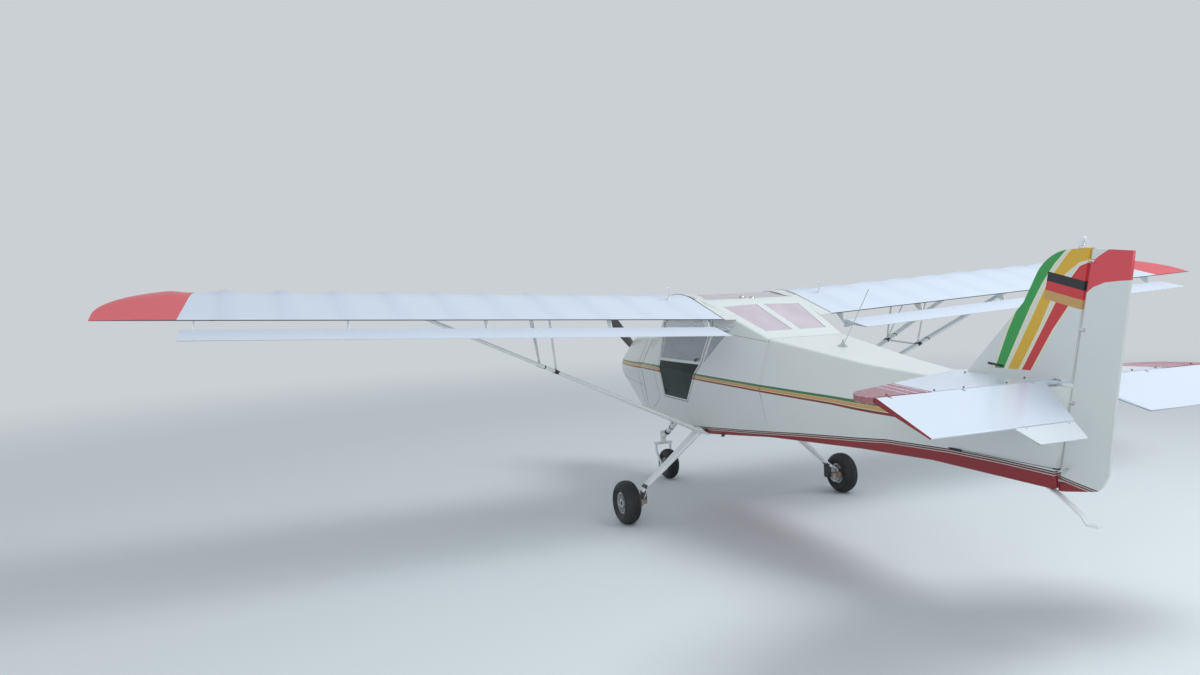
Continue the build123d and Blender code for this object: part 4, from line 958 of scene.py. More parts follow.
def joined(parts: Sequence[Mesh]) -> Mesh:
    """Puts several meshes into the first of them and frees the others."""
    whole = parts[0]
    for part in parts[1:]:
        data = bpy.data.meshes.new("part")
        part.to_mesh(data)
        part.free()
        whole.from_mesh(data)
        bpy.data.meshes.remove(data)
    return whole


def islands(node: str) -> list[tuple[Vector, Vector]]:
    """The boxes of a CAD node's separate solids, as lowest and highest corners."""
    mesh = merged_copy(node)
    left = set(mesh.verts)
    boxes = []
    while left:
        reached = [left.pop()]
        for vert in reached:
            near = [edge.other_vert(vert) for edge in vert.link_edges]
            fresh = [other for other in near if other in left]
            left.difference_update(fresh)
            reached.extend(fresh)
        low = Vector([min(vert.co[axis] for vert in reached) for axis in range(3)])
        high = Vector([max(vert.co[axis] for vert in reached) for axis in range(3)])
        boxes.append((low, high))
    mesh.free()
    return sorted(boxes, key=lambda box: box[0].x)


@dataclass
class Surface:
    """Finds places on the outside of CAD nodes."""

    nodes: tuple[str, ...]
    tree: BVHTree = field(init=False, repr=False)

    def __post_init__(self) -> None:
        """Reads the nodes' meshes."""
        mesh = bmesh.new()
        for node in self.nodes:
            mesh.from_mesh(bpy.data.objects[node].data)
        self.tree = BVHTree.FromBMesh(mesh)
        mesh.free()

    def hit(self, start: Sequence[float], way: Sequence[float]) -> Hit | None:
        """The first place that a ray meets.

        Args:
            start: the ray's start.
            way: its direction.

        Returns:
            The place with its outward normal, or None where the ray misses.
        """
        place, normal, _, _ = self.tree.ray_cast(Vector(start), Vector(way).normalized())
        if place is None:
            return None
        return place, normal * (-1.0 if normal.dot(Vector(way)) > 0 else 1.0)

    def beside(self, side: Side, y: float, z: float) -> Hit | None:
        """The place that is seen from one side."""
        return self.hit((side.value * 3.0, y, z), (-side.value, 0.0, 0.0))

    def above(self, x: float, y: float) -> Hit | None:
        """The place that is seen from above."""
        return self.hit((x, y, 3.0), (0.0, 0.0, -1.0))

    def below(self, x: float, y: float) -> Hit | None:
        """The place that is seen from below."""
        return self.hit((x, y, -1.0), (0.0, 0.0, 1.0))

    def sideways(self, side: Side) -> Callable[[Vector], Hit | None]:
        """What finds a point's place as seen from one side."""
        return lambda point: self.beside(side, point.y, point.z)

    def down(self, point: Vector) -> Hit | None:
        """The place above or below a point as seen from above."""
        return self.above(point.x, point.y)

    def up(self, point: Vector) -> Hit | None:
        """The place above or below a point as seen from below."""
        return self.below(point.x, point.y)

    def along(self, points: Sequence[Point], step: float, look: Callable[[Vector], Hit | None]) -> list[Hit]:
        """Places along straight runs between points.

        Args:
            points: the runs' corners.
            step: the distance between places.
            look: finds the place for a point.

        Returns:
            The places that the rays met, with their normals.
        """
        found = []
        for first, second in zip(points, points[1:]):
            start, way = Vector(first), Vector(second) - Vector(first)
            count = max(1, round(way.length / step))
            found += [look(start + way * (index / count)) for index in range(count)]
        return [place for place in (*found, look(Vector(points[-1]))) if place]

    def round(self, y: float, height: float, start: float, end: float, count: int = 40) -> list[Hit]:
        """Places round a section of the body, by angle in degrees, 0 at the left and 90 on top."""
        found = []
        for index in range(count + 1):
            turn = math.radians(start + (end - start) * index / count)
            way = Vector((math.cos(turn), 0.0, math.sin(turn)))
            found.append(self.hit(Vector((0.0, y, height)) + way * 2.0, -way))
        return [place for place in found if place]


@dataclass
class Shop:
    """What every sub-assembly shares: the frame and the finishes by name."""

    frame: dict
    finishes: dict[str, Material] = field(default_factory=dict)

    def add(self, finish: Finish | Glazing) -> Material:
        """Makes a finish's material and keeps it under its name."""
        self.finishes[finish.name] = finish.material()
        return self.finishes[finish.name]

    def paint(self, node: str, finish: str) -> None:
        """Gives a CAD node a finish in place of its own."""
        data = self.frame["nodes"][node].data
        data.materials.clear()
        data.materials.append(self.finishes[finish])
        data.polygons.foreach_set("material_index", [0] * len(data.polygons))

    def slot_of(self, node: str) -> str:
        """The record's slot of a CAD node."""
        rows = self.frame["record"]["subparts"]
        return next(row["material_slot"] for row in rows if row["node"] == node)

    def body_of(self, node: str) -> str:
        """The body that a CAD node rides on."""
        return self.frame["nodes"][node]["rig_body"]

    def settle(self, piece: Piece, body: str, slot: str) -> Piece:
        """Puts a finished piece on its body."""
        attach(piece, body)
        LOG.info("%s rides on %s, %d faces", piece.name, body, len(piece.data.polygons))
        return piece

    def make(self, mesh: Mesh, name: str, finish: str, body: str = "airframe", slot: str = "fitting_metal",
             smooth: float = 35.0) -> Piece:
        """Finishes a new piece and puts it on its body.

        Args:
            mesh: the piece's shape, which is freed.
            name: its name.
            finish: its finish's name.
            body: the body that it rides on.
            slot: not used.
            smooth: the angle up to which faces look smooth, in degrees.

        Returns:
            The piece.
        """
        return self.settle(finished(mesh, name, self.finishes[finish], smooth), body, slot)

    def skin(self, node: str, finish: str, change: Callable[[Mesh], None] | None = None,
             smooth: float = 35.0) -> Piece:
        """Replaces a CAD node by a smooth copy of itself.

        Args:
            node: the CAD node.
            finish: the finish's name.
            change: what is done to the copy's mesh, or None.
            smooth: the angle up to which faces look smooth, in degrees.

        Returns:
            The copy.
        """
        mesh = merged_copy(node)
        if change:
            change(mesh)
        piece = finished(mesh, f"{node}_skin", self.finishes[finish], smooth)
        weighted(piece)
        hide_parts(node)
        return self.settle(piece, self.body_of(node), self.slot_of(node))


# ---------------------------------------------------------------- sub-assemblies


@dataclass
class Wings:
    """Cloth-covered wings, scalloped between their ribs, with the flaperons behind them."""

    shop: Shop
    root: float = 0.472
    first_rib: float = 0.70
    rib_pitch: float = 0.35
    tip_start: float = 4.2
    bays: int = 12
    steps: int = 8
    cuts: tuple[float, ...] = (
        # Shares of the chord
        0.008, 0.018, 0.03, 0.045, 0.062, 0.08, 0.1, 0.125, 0.15, 0.18, 0.22, 0.28, 0.36, 0.5, 0.65, 0.8, 0.9,
    )
    sag: float = 0.019
    fullness: float = 0.7
    nose_share: float = 0.13
    tail_share: float = 0.97
    tail_fade: float = 0.6
    end_fade: float = 0.1
    front: float = aft(1.648)
    chord: float = 0.987
    rise: float = 0.0495
    root_height: float = 1.592
    hinge: Point = (0.47723, -0.1105, 1.48613)
    hinge_rise: float = 0.04937
    bead_ends: tuple[float, float] = (-1.085, -0.13)
    strut_way: Point = (1.0, 0.0, 0.467)
    vent: tuple[float, float] = (0.696, -0.58)
    vent_neck: Profile = ((0.000, 0.055), (0.002, 0.078), (0.010, 0.090), (0.022, 0.090), (0.032, 0.083))
    vent_foot: Profile = ((-0.002, 0.0), (-0.002, 0.019), (0.002, 0.018), (0.012, 0.008), (0.012, 0.0))
    grommet: Profile = ((-0.001, 0.0), (-0.001, 0.009), (0.002, 0.008), (0.002, 0.004), (0.0005, 0.0))
    grommets: int = 11
    strut_ends: tuple[Point, ...] = ((2.648, -0.39, 1.712), (2.648, -0.80, 1.755))
    jury_feet: tuple[Point, ...] = ((1.656, -0.545, 1.28), (1.656, -0.880, 1.29))

    def scallop(self, mesh: Mesh) -> None:
        """Draws the cloth in between the ribs, most near the front and least at the back edge."""
        sign = 1 if sum(v.co.x for v in mesh.verts) > 0 else -1
        tilt = math.atan(self.rise)
        way = (sign * math.cos(tilt), 0.0, math.sin(tilt))
        first = self.first_rib - self.rib_pitch
        places = [first + self.rib_pitch * k / self.steps for k in range(self.bays * self.steps)]
        inside = [p for p in places if self.root + 0.005 < p < self.tip_start]
        cut_along(mesh, [(sign * p, 0.0, self.root_height + self.rise * (p - self.root)) for p in inside], way)
        cut_along(mesh, [(0.0, self.front + self.chord * share, 0.0) for share in self.cuts], (0.0, 1.0, 0.0))
        mesh.normal_update()
        for vert in mesh.verts:
            height = vert.co.z - self.root_height - self.rise * (abs(vert.co.x) - self.root)
            out = abs(vert.co.x) + height * math.sin(tilt)
            if out < self.root + 0.01 or out > self.tip_start:
                continue
            phase = ((out - first) / self.rib_pitch) % 1.0
            share = (vert.co.y - self.front) / self.chord
            hollow = math.sin(math.pi * phase) ** self.fullness
            ramp = min(1.0, max(0.0, share / self.nose_share))
            fade = ramp * ramp * (3.0 - 2.0 * ramp) * min(1.0, max(0.0, (self.tail_share - share) / self.tail_fade))
            ends = min(1.0, (out - self.root) / self.end_fade, (self.tip_start - out) / self.end_fade)
            vert.co -= vert.normal * (self.sag * hollow * fade * max(0.0, ends))

    def root_joint(self, side: Side) -> None:
        """A dark bead along the joint of the wing and the cabin roof."""
        cover = Surface((f"wing_{side.word}",))
        run = [(side.value * (self.root + 0.006), y, 0.0) for y in self.bead_ends]
        mesh = bmesh.new()
        for places in (cover.along(run, 0.03, cover.down), cover.along(run, 0.06, cover.up)):
            strap(mesh, places, 0.006, 0.0014)
        self.shop.make(mesh, f"root_bead_{side.word}", "dark_trim", "airframe", "black_plastic")

    def fittings(self) -> None:
        """Bolts through the flaperon brackets, clamps on the struts and lugs where the struts meet the wings."""
        bolts, clamps = bmesh.new(), []
        for low, high in islands("flaperon_brackets"):
            middle = (low.x + high.x) / 2
            height = self.hinge[2] + self.hinge_rise * (abs(middle) - self.hinge[0])
            for x, way in ((low.x, -1), (high.x, 1)):
                bolt(bolts, (x, self.hinge[1], height), (way, 0.0, 0.0), 0.0045)
        self.shop.make(bolts, "bracket_bolts", "bright_metal")
        for side in Side:
            way = side.turn(self.strut_way)
            rows = []
            for foot in self.jury_feet:
                rows += [(side.turn(foot), 0.034, 0.0022), (side.turn(foot) + way * 0.09, 0.008, 0.0012)]
            rows += [(side.turn(place), 0.03, 0.002) for place in self.strut_ends]
            clamps += [sleeve("lift_struts", place, way, width, grow, 0.12) for place, width, grow in rows]
        self.shop.make(joined(clamps), "strut_clamps", "dark_metal")

    def vents(self) -> None:
        """Goose-necked vent pipes and drain grommets on both wings."""
        mesh = bmesh.new()
        for side in Side:
            cover = Surface((f"wing_{side.word}",))
            foot, up = cover.above(side.value * self.vent[0], self.vent[1])
            neck = [foot + up * high + Vector((wide, 0.0, 0.0)) for wide, high in self.vent_neck]
            pipe(mesh, [foot - up * 0.002, *neck], 0.0050, 10)
            turned(mesh, self.vent_foot, foot, up, 20)
            for rib in range(self.grommets):
                seat = cover.below(side.value * (self.first_rib + self.rib_pitch * rib - 0.04), -0.17)
                if seat:
                    turned(mesh, self.grommet, *seat, 14)
        self.shop.make(mesh, "wing_vents", "plain_white", "airframe", "moulding")

    def build(self) -> None:
        """Skins both wings and their flaperons and adds their small parts."""
        for side in Side:
            self.shop.skin(f"wing_{side.word}", "wing_cloth", self.scallop, 40.0)
            self.shop.skin(f"flaperon_{side.word}", "flaperon_cloth", None, 40.0)
            self.root_joint(side)
        self.fittings()
        self.vents()


@dataclass
class Body:
    """The striped body: cowl, boot cowl, cabin sides, rear body and doors."""

    shop: Shop
    cowl_seam: float = -1.745
    firewall: float = -1.662
    cabin_end: float = 0.226
    vents: Profile = ((0.035, -0.5895), (-0.026, -0.5385))
    mast_foot: tuple[float, float] = (0.0, 0.632)
    mast_lean: Point = (0.0, 0.285, 0.385)
    mast_base: Profile = ((-0.003, 0.0), (-0.003, 0.016), (0.004, 0.015), (0.022, 0.010), (0.052, 0.0045), (0.052, 0.0))
    mast_arms: int = 5
    seam_height: float = 0.0007
    side_seams: tuple[tuple[tuple[Point, ...], float], ...] = (
        # The run, then the width
        (((0.0, -1.56, 0.785), (0.0, -1.36, 0.893), (0.0, -1.33, 1.20)), 0.0028),
        (((0.0, -0.12, 1.475), (0.0, 0.21, 1.437)), 0.0026),
    )
    roof_pane: Profile = ((-0.385, -1.075), (0.385, -1.075), (0.385, -0.535), (-0.385, -0.535), (-0.385, -1.075))
    rear_pane: Profile = (
        (0.040, -0.385), (0.334, -0.385), (0.334, -0.20), (0.300, 0.090), (0.040, 0.090), (0.040, -0.385),
    )
    vent_shape: Profile = (
        (-0.004, 0.0), (-0.004, 0.030), (0.002, 0.030), (0.0035, 0.026), (0.0035, 0.0225), (0.010, 0.021),
        (0.015, 0.015), (0.017, 0.007), (0.0175, 0.0),
    )
    brackets: Profile = ((0.395, -0.640), (0.380, -0.400), (0.345, -1.262))
    drain: tuple[float, float] = (0.16, -1.70)

    def panels(self) -> None:
        """Skins every painted panel and glazes the windows."""
        for node in ("tail_cone", "cabin_frame", "boot_cowl", "cowl", "door_frame_left", "door_frame_right"):
            self.shop.skin(node, "body_paint")
        for node in ("root_fairings", "spinner"):
            self.shop.skin(node, "plain_white")
        for node in ("windshield", "quarter_windows", "door_glass_left", "door_glass_right"):
            self.shop.paint(node, "clear")
        for node in ("roof_window", "rear_windows"):
            self.shop.paint(node, "rose_tint")
        for node in ("door_panel_left", "door_panel_right"):
            self.shop.paint(node, "green_tint")

    def seams(self) -> None:
        """Thin dark joints between the panels, with rows of fasteners beside them."""
        shell = Surface(("cowl", "boot_cowl", "cabin_frame", "tail_cone"))
        lines, heads = bmesh.new(), bmesh.new()
        for y, height, start, end, width in (
            (self.cowl_seam, 1.03, -62.0, 242.0, 0.0030),
            (self.firewall, 1.08, -60.0, 240.0, 0.0034),
            (self.cabin_end, 1.08, 47.0, 133.0, 0.0034),
        ):
            strap(lines, shell.round(y, height, start, end, 64), width, self.seam_height)
        for y, height in ((self.firewall - 0.012, 1.08), (self.firewall + 0.014, 1.08), (self.cowl_seam - 0.012, 1.03)):
            studs(heads, shell.round(y, height, -56.0, 236.0, 22), 0.0034)
        for side in Side:
            look = shell.sideways(side)
            split = shell.along([(0.0, -2.44, 1.02), (0.0, self.firewall, 0.985)], 0.03, look)
            strap(lines, split, 0.0028, self.seam_height)
            for place, normal in split[2::4]:
                stud(heads, place + Vector((0.0, 0.0, 0.013)), normal, 0.004)
            for run, width in self.side_seams:
                strap(lines, shell.along(run, 0.02, look), width, self.seam_height)
        self.shop.make(lines, "panel_seams", "seam_grey", "airframe", "moulding")
        self.shop.make(heads, "panel_fasteners", "bright_metal")

    def roof(self) -> None:
        """Beads and screws round the roof panes, and two round vents."""
        beads, heads, domes = bmesh.new(), bmesh.new(), bmesh.new()
        top = Surface(("cabin_frame", "roof_window", "rear_windows"))
        ring = [(x, y, 0.0) for x, y in self.roof_pane]
        strap(beads, top.along(ring, 0.04, top.down), 0.008, 0.0016)
        studs(heads, top.along(ring, 0.075, top.down), 0.0034, 0.001)
        for side in Side:
            ring = [(x * side.value, y, 0.0) for x, y in self.rear_pane]
            studs(heads, top.along(ring, 0.06, top.down), 0.003)
        for x, y in self.vents:
            turned(domes, self.vent_shape, *top.above(x, y), 28)
        self.shop.make(beads, "roof_beads", "plain_white", "airframe", "moulding")
        self.shop.make(heads, "roof_screws", "bright_metal")
        self.shop.make(domes, "roof_vents", "bright_metal", smooth=50.0)

    def mast(self) -> None:
        """The thin aerial on its star-shaped foot."""
        foot, normal = Surface(("tail_cone", "cabin_frame")).above(*self.mast_foot)
        mesh = bmesh.new()
        turned(mesh, self.mast_base, foot, normal, 20)
        for aside, back in around(self.mast_arms, 0.25):
            arm = Vector((aside, back, 0.0)) * 0.036
            arm -= normal * arm.dot(normal)
            pipe(mesh, (foot + normal * 0.030, foot + normal * 0.012 + arm * 0.5, foot + arm), 0.0036, 6, 2)
        tip = foot + Vector(self.mast_lean)
        pipe(mesh, (foot + normal * 0.014, foot.lerp(tip, 0.12), foot.lerp(tip, 0.55), tip), 0.0026, 8, 4)
        piece = self.shop.make(mesh, "aerial", "aerial_white", "airframe", self.shop.slot_of("antenna"))
        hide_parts("antenna")

    def under(self) -> None:
        """The bolts and brackets under the body, and the drain pipe below the cowl."""
        mesh, pipes = bmesh.new(), bmesh.new()
        belly = Surface(("cabin_frame", "boot_cowl", "cowl"))
        for side in Side:
            for x, y in self.brackets:
                seat = belly.below(side.value * x * 0.93, y)
                if not seat:
                    continue
                place, normal = seat
                block(mesh, place + normal * 0.008, (0.012, 0.034, 0.022))
                bolt(mesh, place + normal * 0.018, normal, 0.006)
        soften(mesh, 0.0015, 2)
        seat = belly.below(*self.drain)
        if seat:
            place, normal = seat
            hanging = [place + Vector(way) for way in ((0.0, 0.010, -0.035), (0.0, 0.022, -0.058))]
            pipe(pipes, (place - normal * 0.02, place + normal * 0.012, *hanging), 0.006, 10)
        self.shop.make(mesh, "belly_brackets", "dark_metal")
        self.shop.make(pipes, "drain_pipe", "dark_metal")

    def build(self) -> None:
        """Makes the body's skins, seams, roof and small parts."""
        self.panels()
        self.seams()
        self.roof()
        self.mast()
        self.under()


@dataclass
class Doors:
    """The doors' rivets and catches."""

    shop: Shop
    rivet_runs: tuple[tuple[Point, ...], ...] = (
        ((0.0, -1.244, 1.00), (0.0, -1.235, 1.24), (0.0, -1.20, 1.50)),
        ((0.0, -1.23, 0.927), (0.0, -0.85, 0.921)),
        ((0.0, -1.22, 1.250), (0.0, -0.53, 1.250)),
    )
    catches: tuple[tuple[float, ...], ...] = (
        # Y, Z, length and slant in radians
        (-0.585, 1.268, 0.060, 0.3),
        (-1.205, 0.965, 0.050, 1.2),
    )
    catch_foot: Profile = ((-0.001, 0.0), (-0.001, 0.014), (0.003, 0.013), (0.005, 0.008), (0.005, 0.0))

    def build(self) -> None:
        """Adds each door's small parts, which ride on the door."""
        for side in Side:
            body = f"door_{side.word}"
            frame = Surface((f"door_frame_{side.word}",))
            heads, grips = bmesh.new(), bmesh.new()
            for run in self.rivet_runs:
                studs(heads, frame.along(run, 0.06, frame.sideways(side)), 0.0026)
            panel = Surface((f"door_panel_{side.word}", f"door_glass_{side.word}", f"door_frame_{side.word}"))
            for y, z, length, slant in self.catches:
                seat = panel.beside(side, y, z)
                if not seat:
                    continue
                place, normal = seat
                way = Vector((0.0, math.cos(slant), math.sin(slant)))
                turned(grips, self.catch_foot, place, normal, 20)
                raised = place + normal * 0.007
                pipe(grips, (place + normal * 0.002, raised + way * 0.012, raised + way * length), 0.0042, 8, 3)
            self.shop.make(heads, f"door_rivets_{side.word}", "bright_metal", body, "fitting_metal")
            self.shop.make(grips, f"door_handles_{side.word}", "cabin_black", body, "black_plastic")


@dataclass
class Tyre:
    """A grooved tyre, spun from half a profile."""

    shop: Shop
    node: str
    middle: Point
    radius: float
    half_width: float
    bead_radius: float
    body: str
    grooves: tuple[float, ...] = (0.011, 0.029)
    groove: tuple[float, float] = (0.0045, 0.0035)
    wall_points: int = 8
    shape: Profile = (
        # Shares of the half width and of the height above the bead
        (0.0, 0.998), (0.18, 0.991), (0.36, 0.966), (0.54, 0.914), (0.69, 0.851), (0.81, 0.776), (0.91, 0.661),
        (0.95, 0.60), (0.975, 0.595), (0.985, 0.50), (0.995, 0.402), (0.968, 0.30), (0.945, 0.285), (0.88, 0.138),
        (0.79, 0.052), (0.716, 0.0),
    )

    def outline(self) -> list[tuple[float, float]]:
        """Half the profile, as distances along the axle and from it."""
        span = self.radius - self.bead_radius
        plain = [(self.half_width * x, self.bead_radius + span * r) for x, r in self.shape]
        wide, deep = self.groove
        half = []
        for (x, r), (next_x, next_r) in zip(plain, plain[1:]):
            half.append((x, r))
            for place in self.grooves:
                if x <= place < next_x:
                    top = r + (next_r - r) * (place - x) / (next_x - x)
                    half += [(place - wide / 2, top), (place - wide / 2 + 0.0006, top - deep),
                             (place + wide / 2 - 0.0006, top - deep), (place + wide / 2, top - 0.0002)]
        tread, wall = half[: -self.wall_points], half[-self.wall_points :]
        return sorted(tread, key=lambda point: point[0]) + wall + [plain[-1]]

    def build(self) -> None:
        """Makes the tyre in place of its CAD node."""
        half = self.outline()
        profile = [(-x, r) for x, r in reversed(half[1:])] + half
        mesh = bmesh.new()
        turned(mesh, profile, self.middle, (1.0, 0.0, 0.0), 80, closed=True)
        piece = self.shop.make(mesh, f"{self.node}_tread", "tread", self.body, "tyre", 50.0)
        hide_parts(self.node)


@dataclass
class Gear:
    """Tyres, rim bolts, dust caps, brake hoses and the clamps on the legs."""

    shop: Shop
    track: float = 1.026
    axle: tuple[float, float] = (-0.7825, 0.1715)
    nose: Point = (0.0, -2.1065, 0.144)
    main_tyre: Point = (0.1709, 0.067, 0.0842)  # radius, half width and radius of the bead
    nose_tyre: Point = (0.1438, 0.058, 0.0622)
    nose_grooves: tuple[float, float] = (0.009, 0.024)
    cap: Profile = ((0.0, 0.0), (0.0, 0.015), (0.004, 0.015), (0.007, 0.0125), (0.0085, 0.006), (0.009, 0.0))
    clip_places: tuple[float, ...] = (0.86, 0.78, 0.70, 0.62, 0.54, 0.47)
    nose_bands: tuple[tuple[Point, float, float], ...] = (
        # The place on the leg, the width and the thickness
        ((0.0, -2.01, 0.62), 0.030, 0.0035),
        ((0.0, -2.06, 0.56), 0.012, 0.002),
        ((0.0, -2.13, 0.48), 0.034, 0.004),
        ((0.0, -1.90, 0.74), 0.016, 0.003),
    )

    def main_wheel(self, side: Side) -> None:
        """One main wheel's tyre, rim bolts, valve and dust cap."""
        sign = side.value
        centre = Vector((sign * self.track, *self.axle))
        body = f"wheel_{side.word}_set"
        Tyre(self.shop, f"tyre_{side.word}", tuple(centre), *self.main_tyre, body).build()
        bolts = bmesh.new()
        for back, high in around(6, 0.5):
            out = Vector((0.0, back, high))
            bolt(bolts, centre + out * 0.031 + Vector((sign * 0.0405, 0.0, 0.0)), (sign, 0.0, 0.0), 0.0042)
        valve = centre + Vector((sign * 0.022, 0.0, 0.0665))
        stem = [valve + Vector((sign * out, 0.0, -down)) for out, down in ((0.012, 0.001), (0.028, 0.006))]
        pipe(bolts, (valve, *stem), 0.0036, 8, 2)
        self.shop.make(bolts, f"rim_bolts_{side.word}", "bright_metal", body, "wheel_metal")
        cap = bmesh.new()
        turned(cap, self.cap, centre + Vector((sign * 0.0435, 0.0, 0.0)), (sign, 0.0, 0.0), 24)
        self.shop.make(cap, f"dust_cap_{side.word}", "dark_metal", smooth=50.0)

    def hose(self, side: Side) -> None:
        """The brake hose, held along the back of the leg by clips."""
        leg = Surface(("main_gear_legs",))
        mesh, clips = bmesh.new(), bmesh.new()
        points = []
        for x in self.clip_places:
            top, bottom = leg.above(side.value * x, -0.75), leg.below(side.value * x, -0.75)
            if not (top and bottom):
                continue
            height = (top[0].z + bottom[0].z) / 2
            seat = leg.hit((side.value * x, 0.0, height), (0.0, -1.0, 0.0))
            if seat:
                points.append(seat[0] + Vector((0.0, 0.0028, 0.0)))
                block(clips, seat[0] + Vector((0.0, 0.002, 0.0)), (0.008, 0.012, 0.016))
        start = Vector((side.value * 0.918, -0.695, 0.205))
        run = [start, start + Vector((-side.value * 0.012, 0.012, 0.028)), *points]
        pipe(mesh, run, 0.0027, 8, 5)
        soften(clips, 0.0012, 1)
        self.shop.make(mesh, f"brake_hose_{side.word}", "leg_paint", "airframe", "black_plastic")
        self.shop.make(clips, f"hose_clips_{side.word}", "strut_paint", "airframe", "black_plastic")

    def clamps(self) -> None:
        """Dark bands at the main legs' ends and down the nose leg."""
        bands = []
        for side in Side:
            way = side.turn((0.75, 0.0, -0.66))
            bands.append(sleeve("main_gear_legs", side.turn((0.865, -0.78, 0.275)), way, 0.03, 0.0028, 0.16))
        self.shop.make(joined(bands), "leg_clamps", "dark_metal")
        way = (0.0, -0.70, -0.72)
        rings = [sleeve("nose_leg", place, way, width, grow, 0.1) for place, width, grow in self.nose_bands]
        self.shop.make(joined(rings), "nose_leg_clamps", "dark_metal")

    def nose_wheel(self) -> None:
        """The nose wheel's tyre and rim bolts."""
        body = "nose_wheel_set"
        Tyre(self.shop, "nose_tyre", self.nose, *self.nose_tyre, body, grooves=self.nose_grooves).build()
        bolts = bmesh.new()
        for sign in (1, -1):
            for back, high in around(5, 0.25):
                out = Vector((0.0, back, high)) * 0.0395
                bolt(bolts, Vector(self.nose) + out + Vector((sign * 0.0135, 0.0, 0.0)), (sign, 0.0, 0.0), 0.0035)
        self.shop.make(bolts, "nose_rim_bolts", "bright_metal", body, "wheel_metal")

    def build(self) -> None:
        """Makes all of it."""
        for side in Side:
            self.main_wheel(side)
            self.hose(side)
        self.clamps()
        self.nose_wheel()


@dataclass
class Tail:
    """Fin, rudder, stabilizer and elevator, the rudder cables and the lamp."""

    shop: Shop
    cable_exit: Point = (0.153, 1.7585, 0.893)
    horn_hole: Point = (0.064, 2.393, 0.8705)
    cable_shares: tuple[float, ...] = (0.0, 0.12, 0.3, 0.5, 0.7, 0.85, 0.93, 0.97, 1.0)
    plate_run: tuple[Point, ...] = ((0.0, 1.908, 1.368), (0.0, 2.015, 1.357))
    bolt_places: tuple[Point, ...] = (
        # X and Y on the stabilizer, then the bolt's radius
        (0.30, 2.300, 0.0042),
        (0.573, 2.300, 0.0042),
        (0.752, 2.300, 0.0042),
        (1.03, 2.300, 0.0042),
        (0.458, 1.834, 0.0045),
        (0.075, 1.80, 0.0045),
        (0.075, 2.20, 0.0045),
    )
    lamp: Point = (0.0, 2.4925, 1.9515)
    lamp_base: Profile = ((0.0, 0.0), (0.0, 0.024), (0.007, 0.0245), (0.010, 0.0225), (0.012, 0.0225), (0.012, 0.0))
    lamp_tube: Profile = ((0.012, 0.0), (0.012, 0.010), (0.016, 0.0115), (0.020, 0.006), (0.042, 0.0055), (0.045, 0.0))
    dome_foot: float = 0.0115
    dome_start: float = 0.0275
    dome_radius: float = 0.0215
    dome_height: float = 0.0325

    def skins(self) -> None:
        """Skins the tail's surfaces."""
        for node, finish in (
            ("fin", "fin_paint"), ("rudder", "rudder_paint"), ("stabilizer", "tail_cloth"), ("elevator", "tail_cloth"),
            ("trim_tab", "tab_paint"),
        ):
            self.shop.skin(node, finish)

    def cables(self) -> None:
        """The two rudder cables: a black sleeve where each leaves the body, then bare steel to the horn."""
        shell = Surface(("tail_cone",))
        for side in Side:
            start, end = side.turn(self.cable_exit), side.turn(self.horn_hole)
            steel, rubber = bmesh.new(), bmesh.new()
            seat = shell.beside(side, start.y, start.z)
            if seat:
                start.x = seat[0].x
            line = [start.lerp(end, share) for share in self.cable_shares]
            for place in line[1:-1]:
                seat = shell.beside(side, place.y, place.z)
                if seat:
                    place.x = side.value * max(abs(place.x), abs(seat[0].x) + 0.006)
            pipe(steel, line, 0.0019, 6, 2)
            inside = line[0] - Vector((side.value * 0.012, 0.05, 0.0))
            pipe(rubber, (inside, line[0], line[0].lerp(line[1], 0.5), line[1]), 0.0046, 8, 3)
            cable = finished(steel, f"rudder_cable_{side.word}", self.shop.finishes["cable_steel"])
            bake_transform(cable)
            self.shop.make(rubber, f"cable_sleeve_{side.word}", "hose", "airframe", "black_plastic")
            shackle = bmesh.new()
            way = (end - start).normalized()
            pipe(shackle, (end - way * 0.034, end - way * 0.018, end - way * 0.004), 0.0040, 8, 2)
            bolt(shackle, end + Vector((0.0, 0.0, 0.003)), (0.0, 0.0, 1.0), 0.0042)
            self.shop.make(shackle, f"cable_shackle_{side.word}", "dark_metal", "rudder", "fitting_metal")

    def fin_foot(self) -> None:
        """The dark plate at the fin's foot, and the bolts there and on the stabilizer."""
        plate, bolts = bmesh.new(), bmesh.new()
        face = Surface(("fin",))
        for side in Side:
            places = face.along(self.plate_run, 0.02, face.sideways(side))
            strap(plate, places, 0.011, 0.0022)
            for place, normal in (places[1], places[-2]):
                bolt(bolts, place + normal * 0.002, normal, 0.0045)
        top = Surface(("stabilizer",))
        for x, y, radius in self.bolt_places:
            for side in Side:
                seat = top.above(side.value * x, y)
                if seat:
                    bolt(bolts, *seat, radius)
        self.shop.make(plate, "fin_foot_plate", "dark_metal")
        self.shop.make(bolts, "tail_bolts", "dark_metal")

    def beacon(self) -> None:
        """A clear dome on a white base, with its flash tube inside."""
        base, dome, inner = bmesh.new(), bmesh.new(), bmesh.new()
        way = (0.0, 0.0, 1.0)
        turned(base, self.lamp_base, self.lamp, way, 32)
        rounded = [math.radians(angle) for angle in range(10, 91, 10)]
        profile = [(self.dome_foot, self.dome_radius), (self.dome_start, self.dome_radius)]
        for angle in rounded:
            height = self.dome_start + self.dome_height * math.sin(angle)
            profile.append((height, self.dome_radius * math.cos(angle)))
        turned(dome, profile, self.lamp, way, 32)
        turned(inner, self.lamp_tube, self.lamp, way, 20)
        foot = self.shop.make(base, "beacon_base", "plain_white", "airframe", "beacon_glass")
        self.shop.make(dome, "beacon_dome", "lamp_glass", "airframe", "beacon_glass", 60.0)
        self.shop.make(inner, "beacon_tube", "bright_metal", "airframe", "beacon_glass")
        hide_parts("beacon")

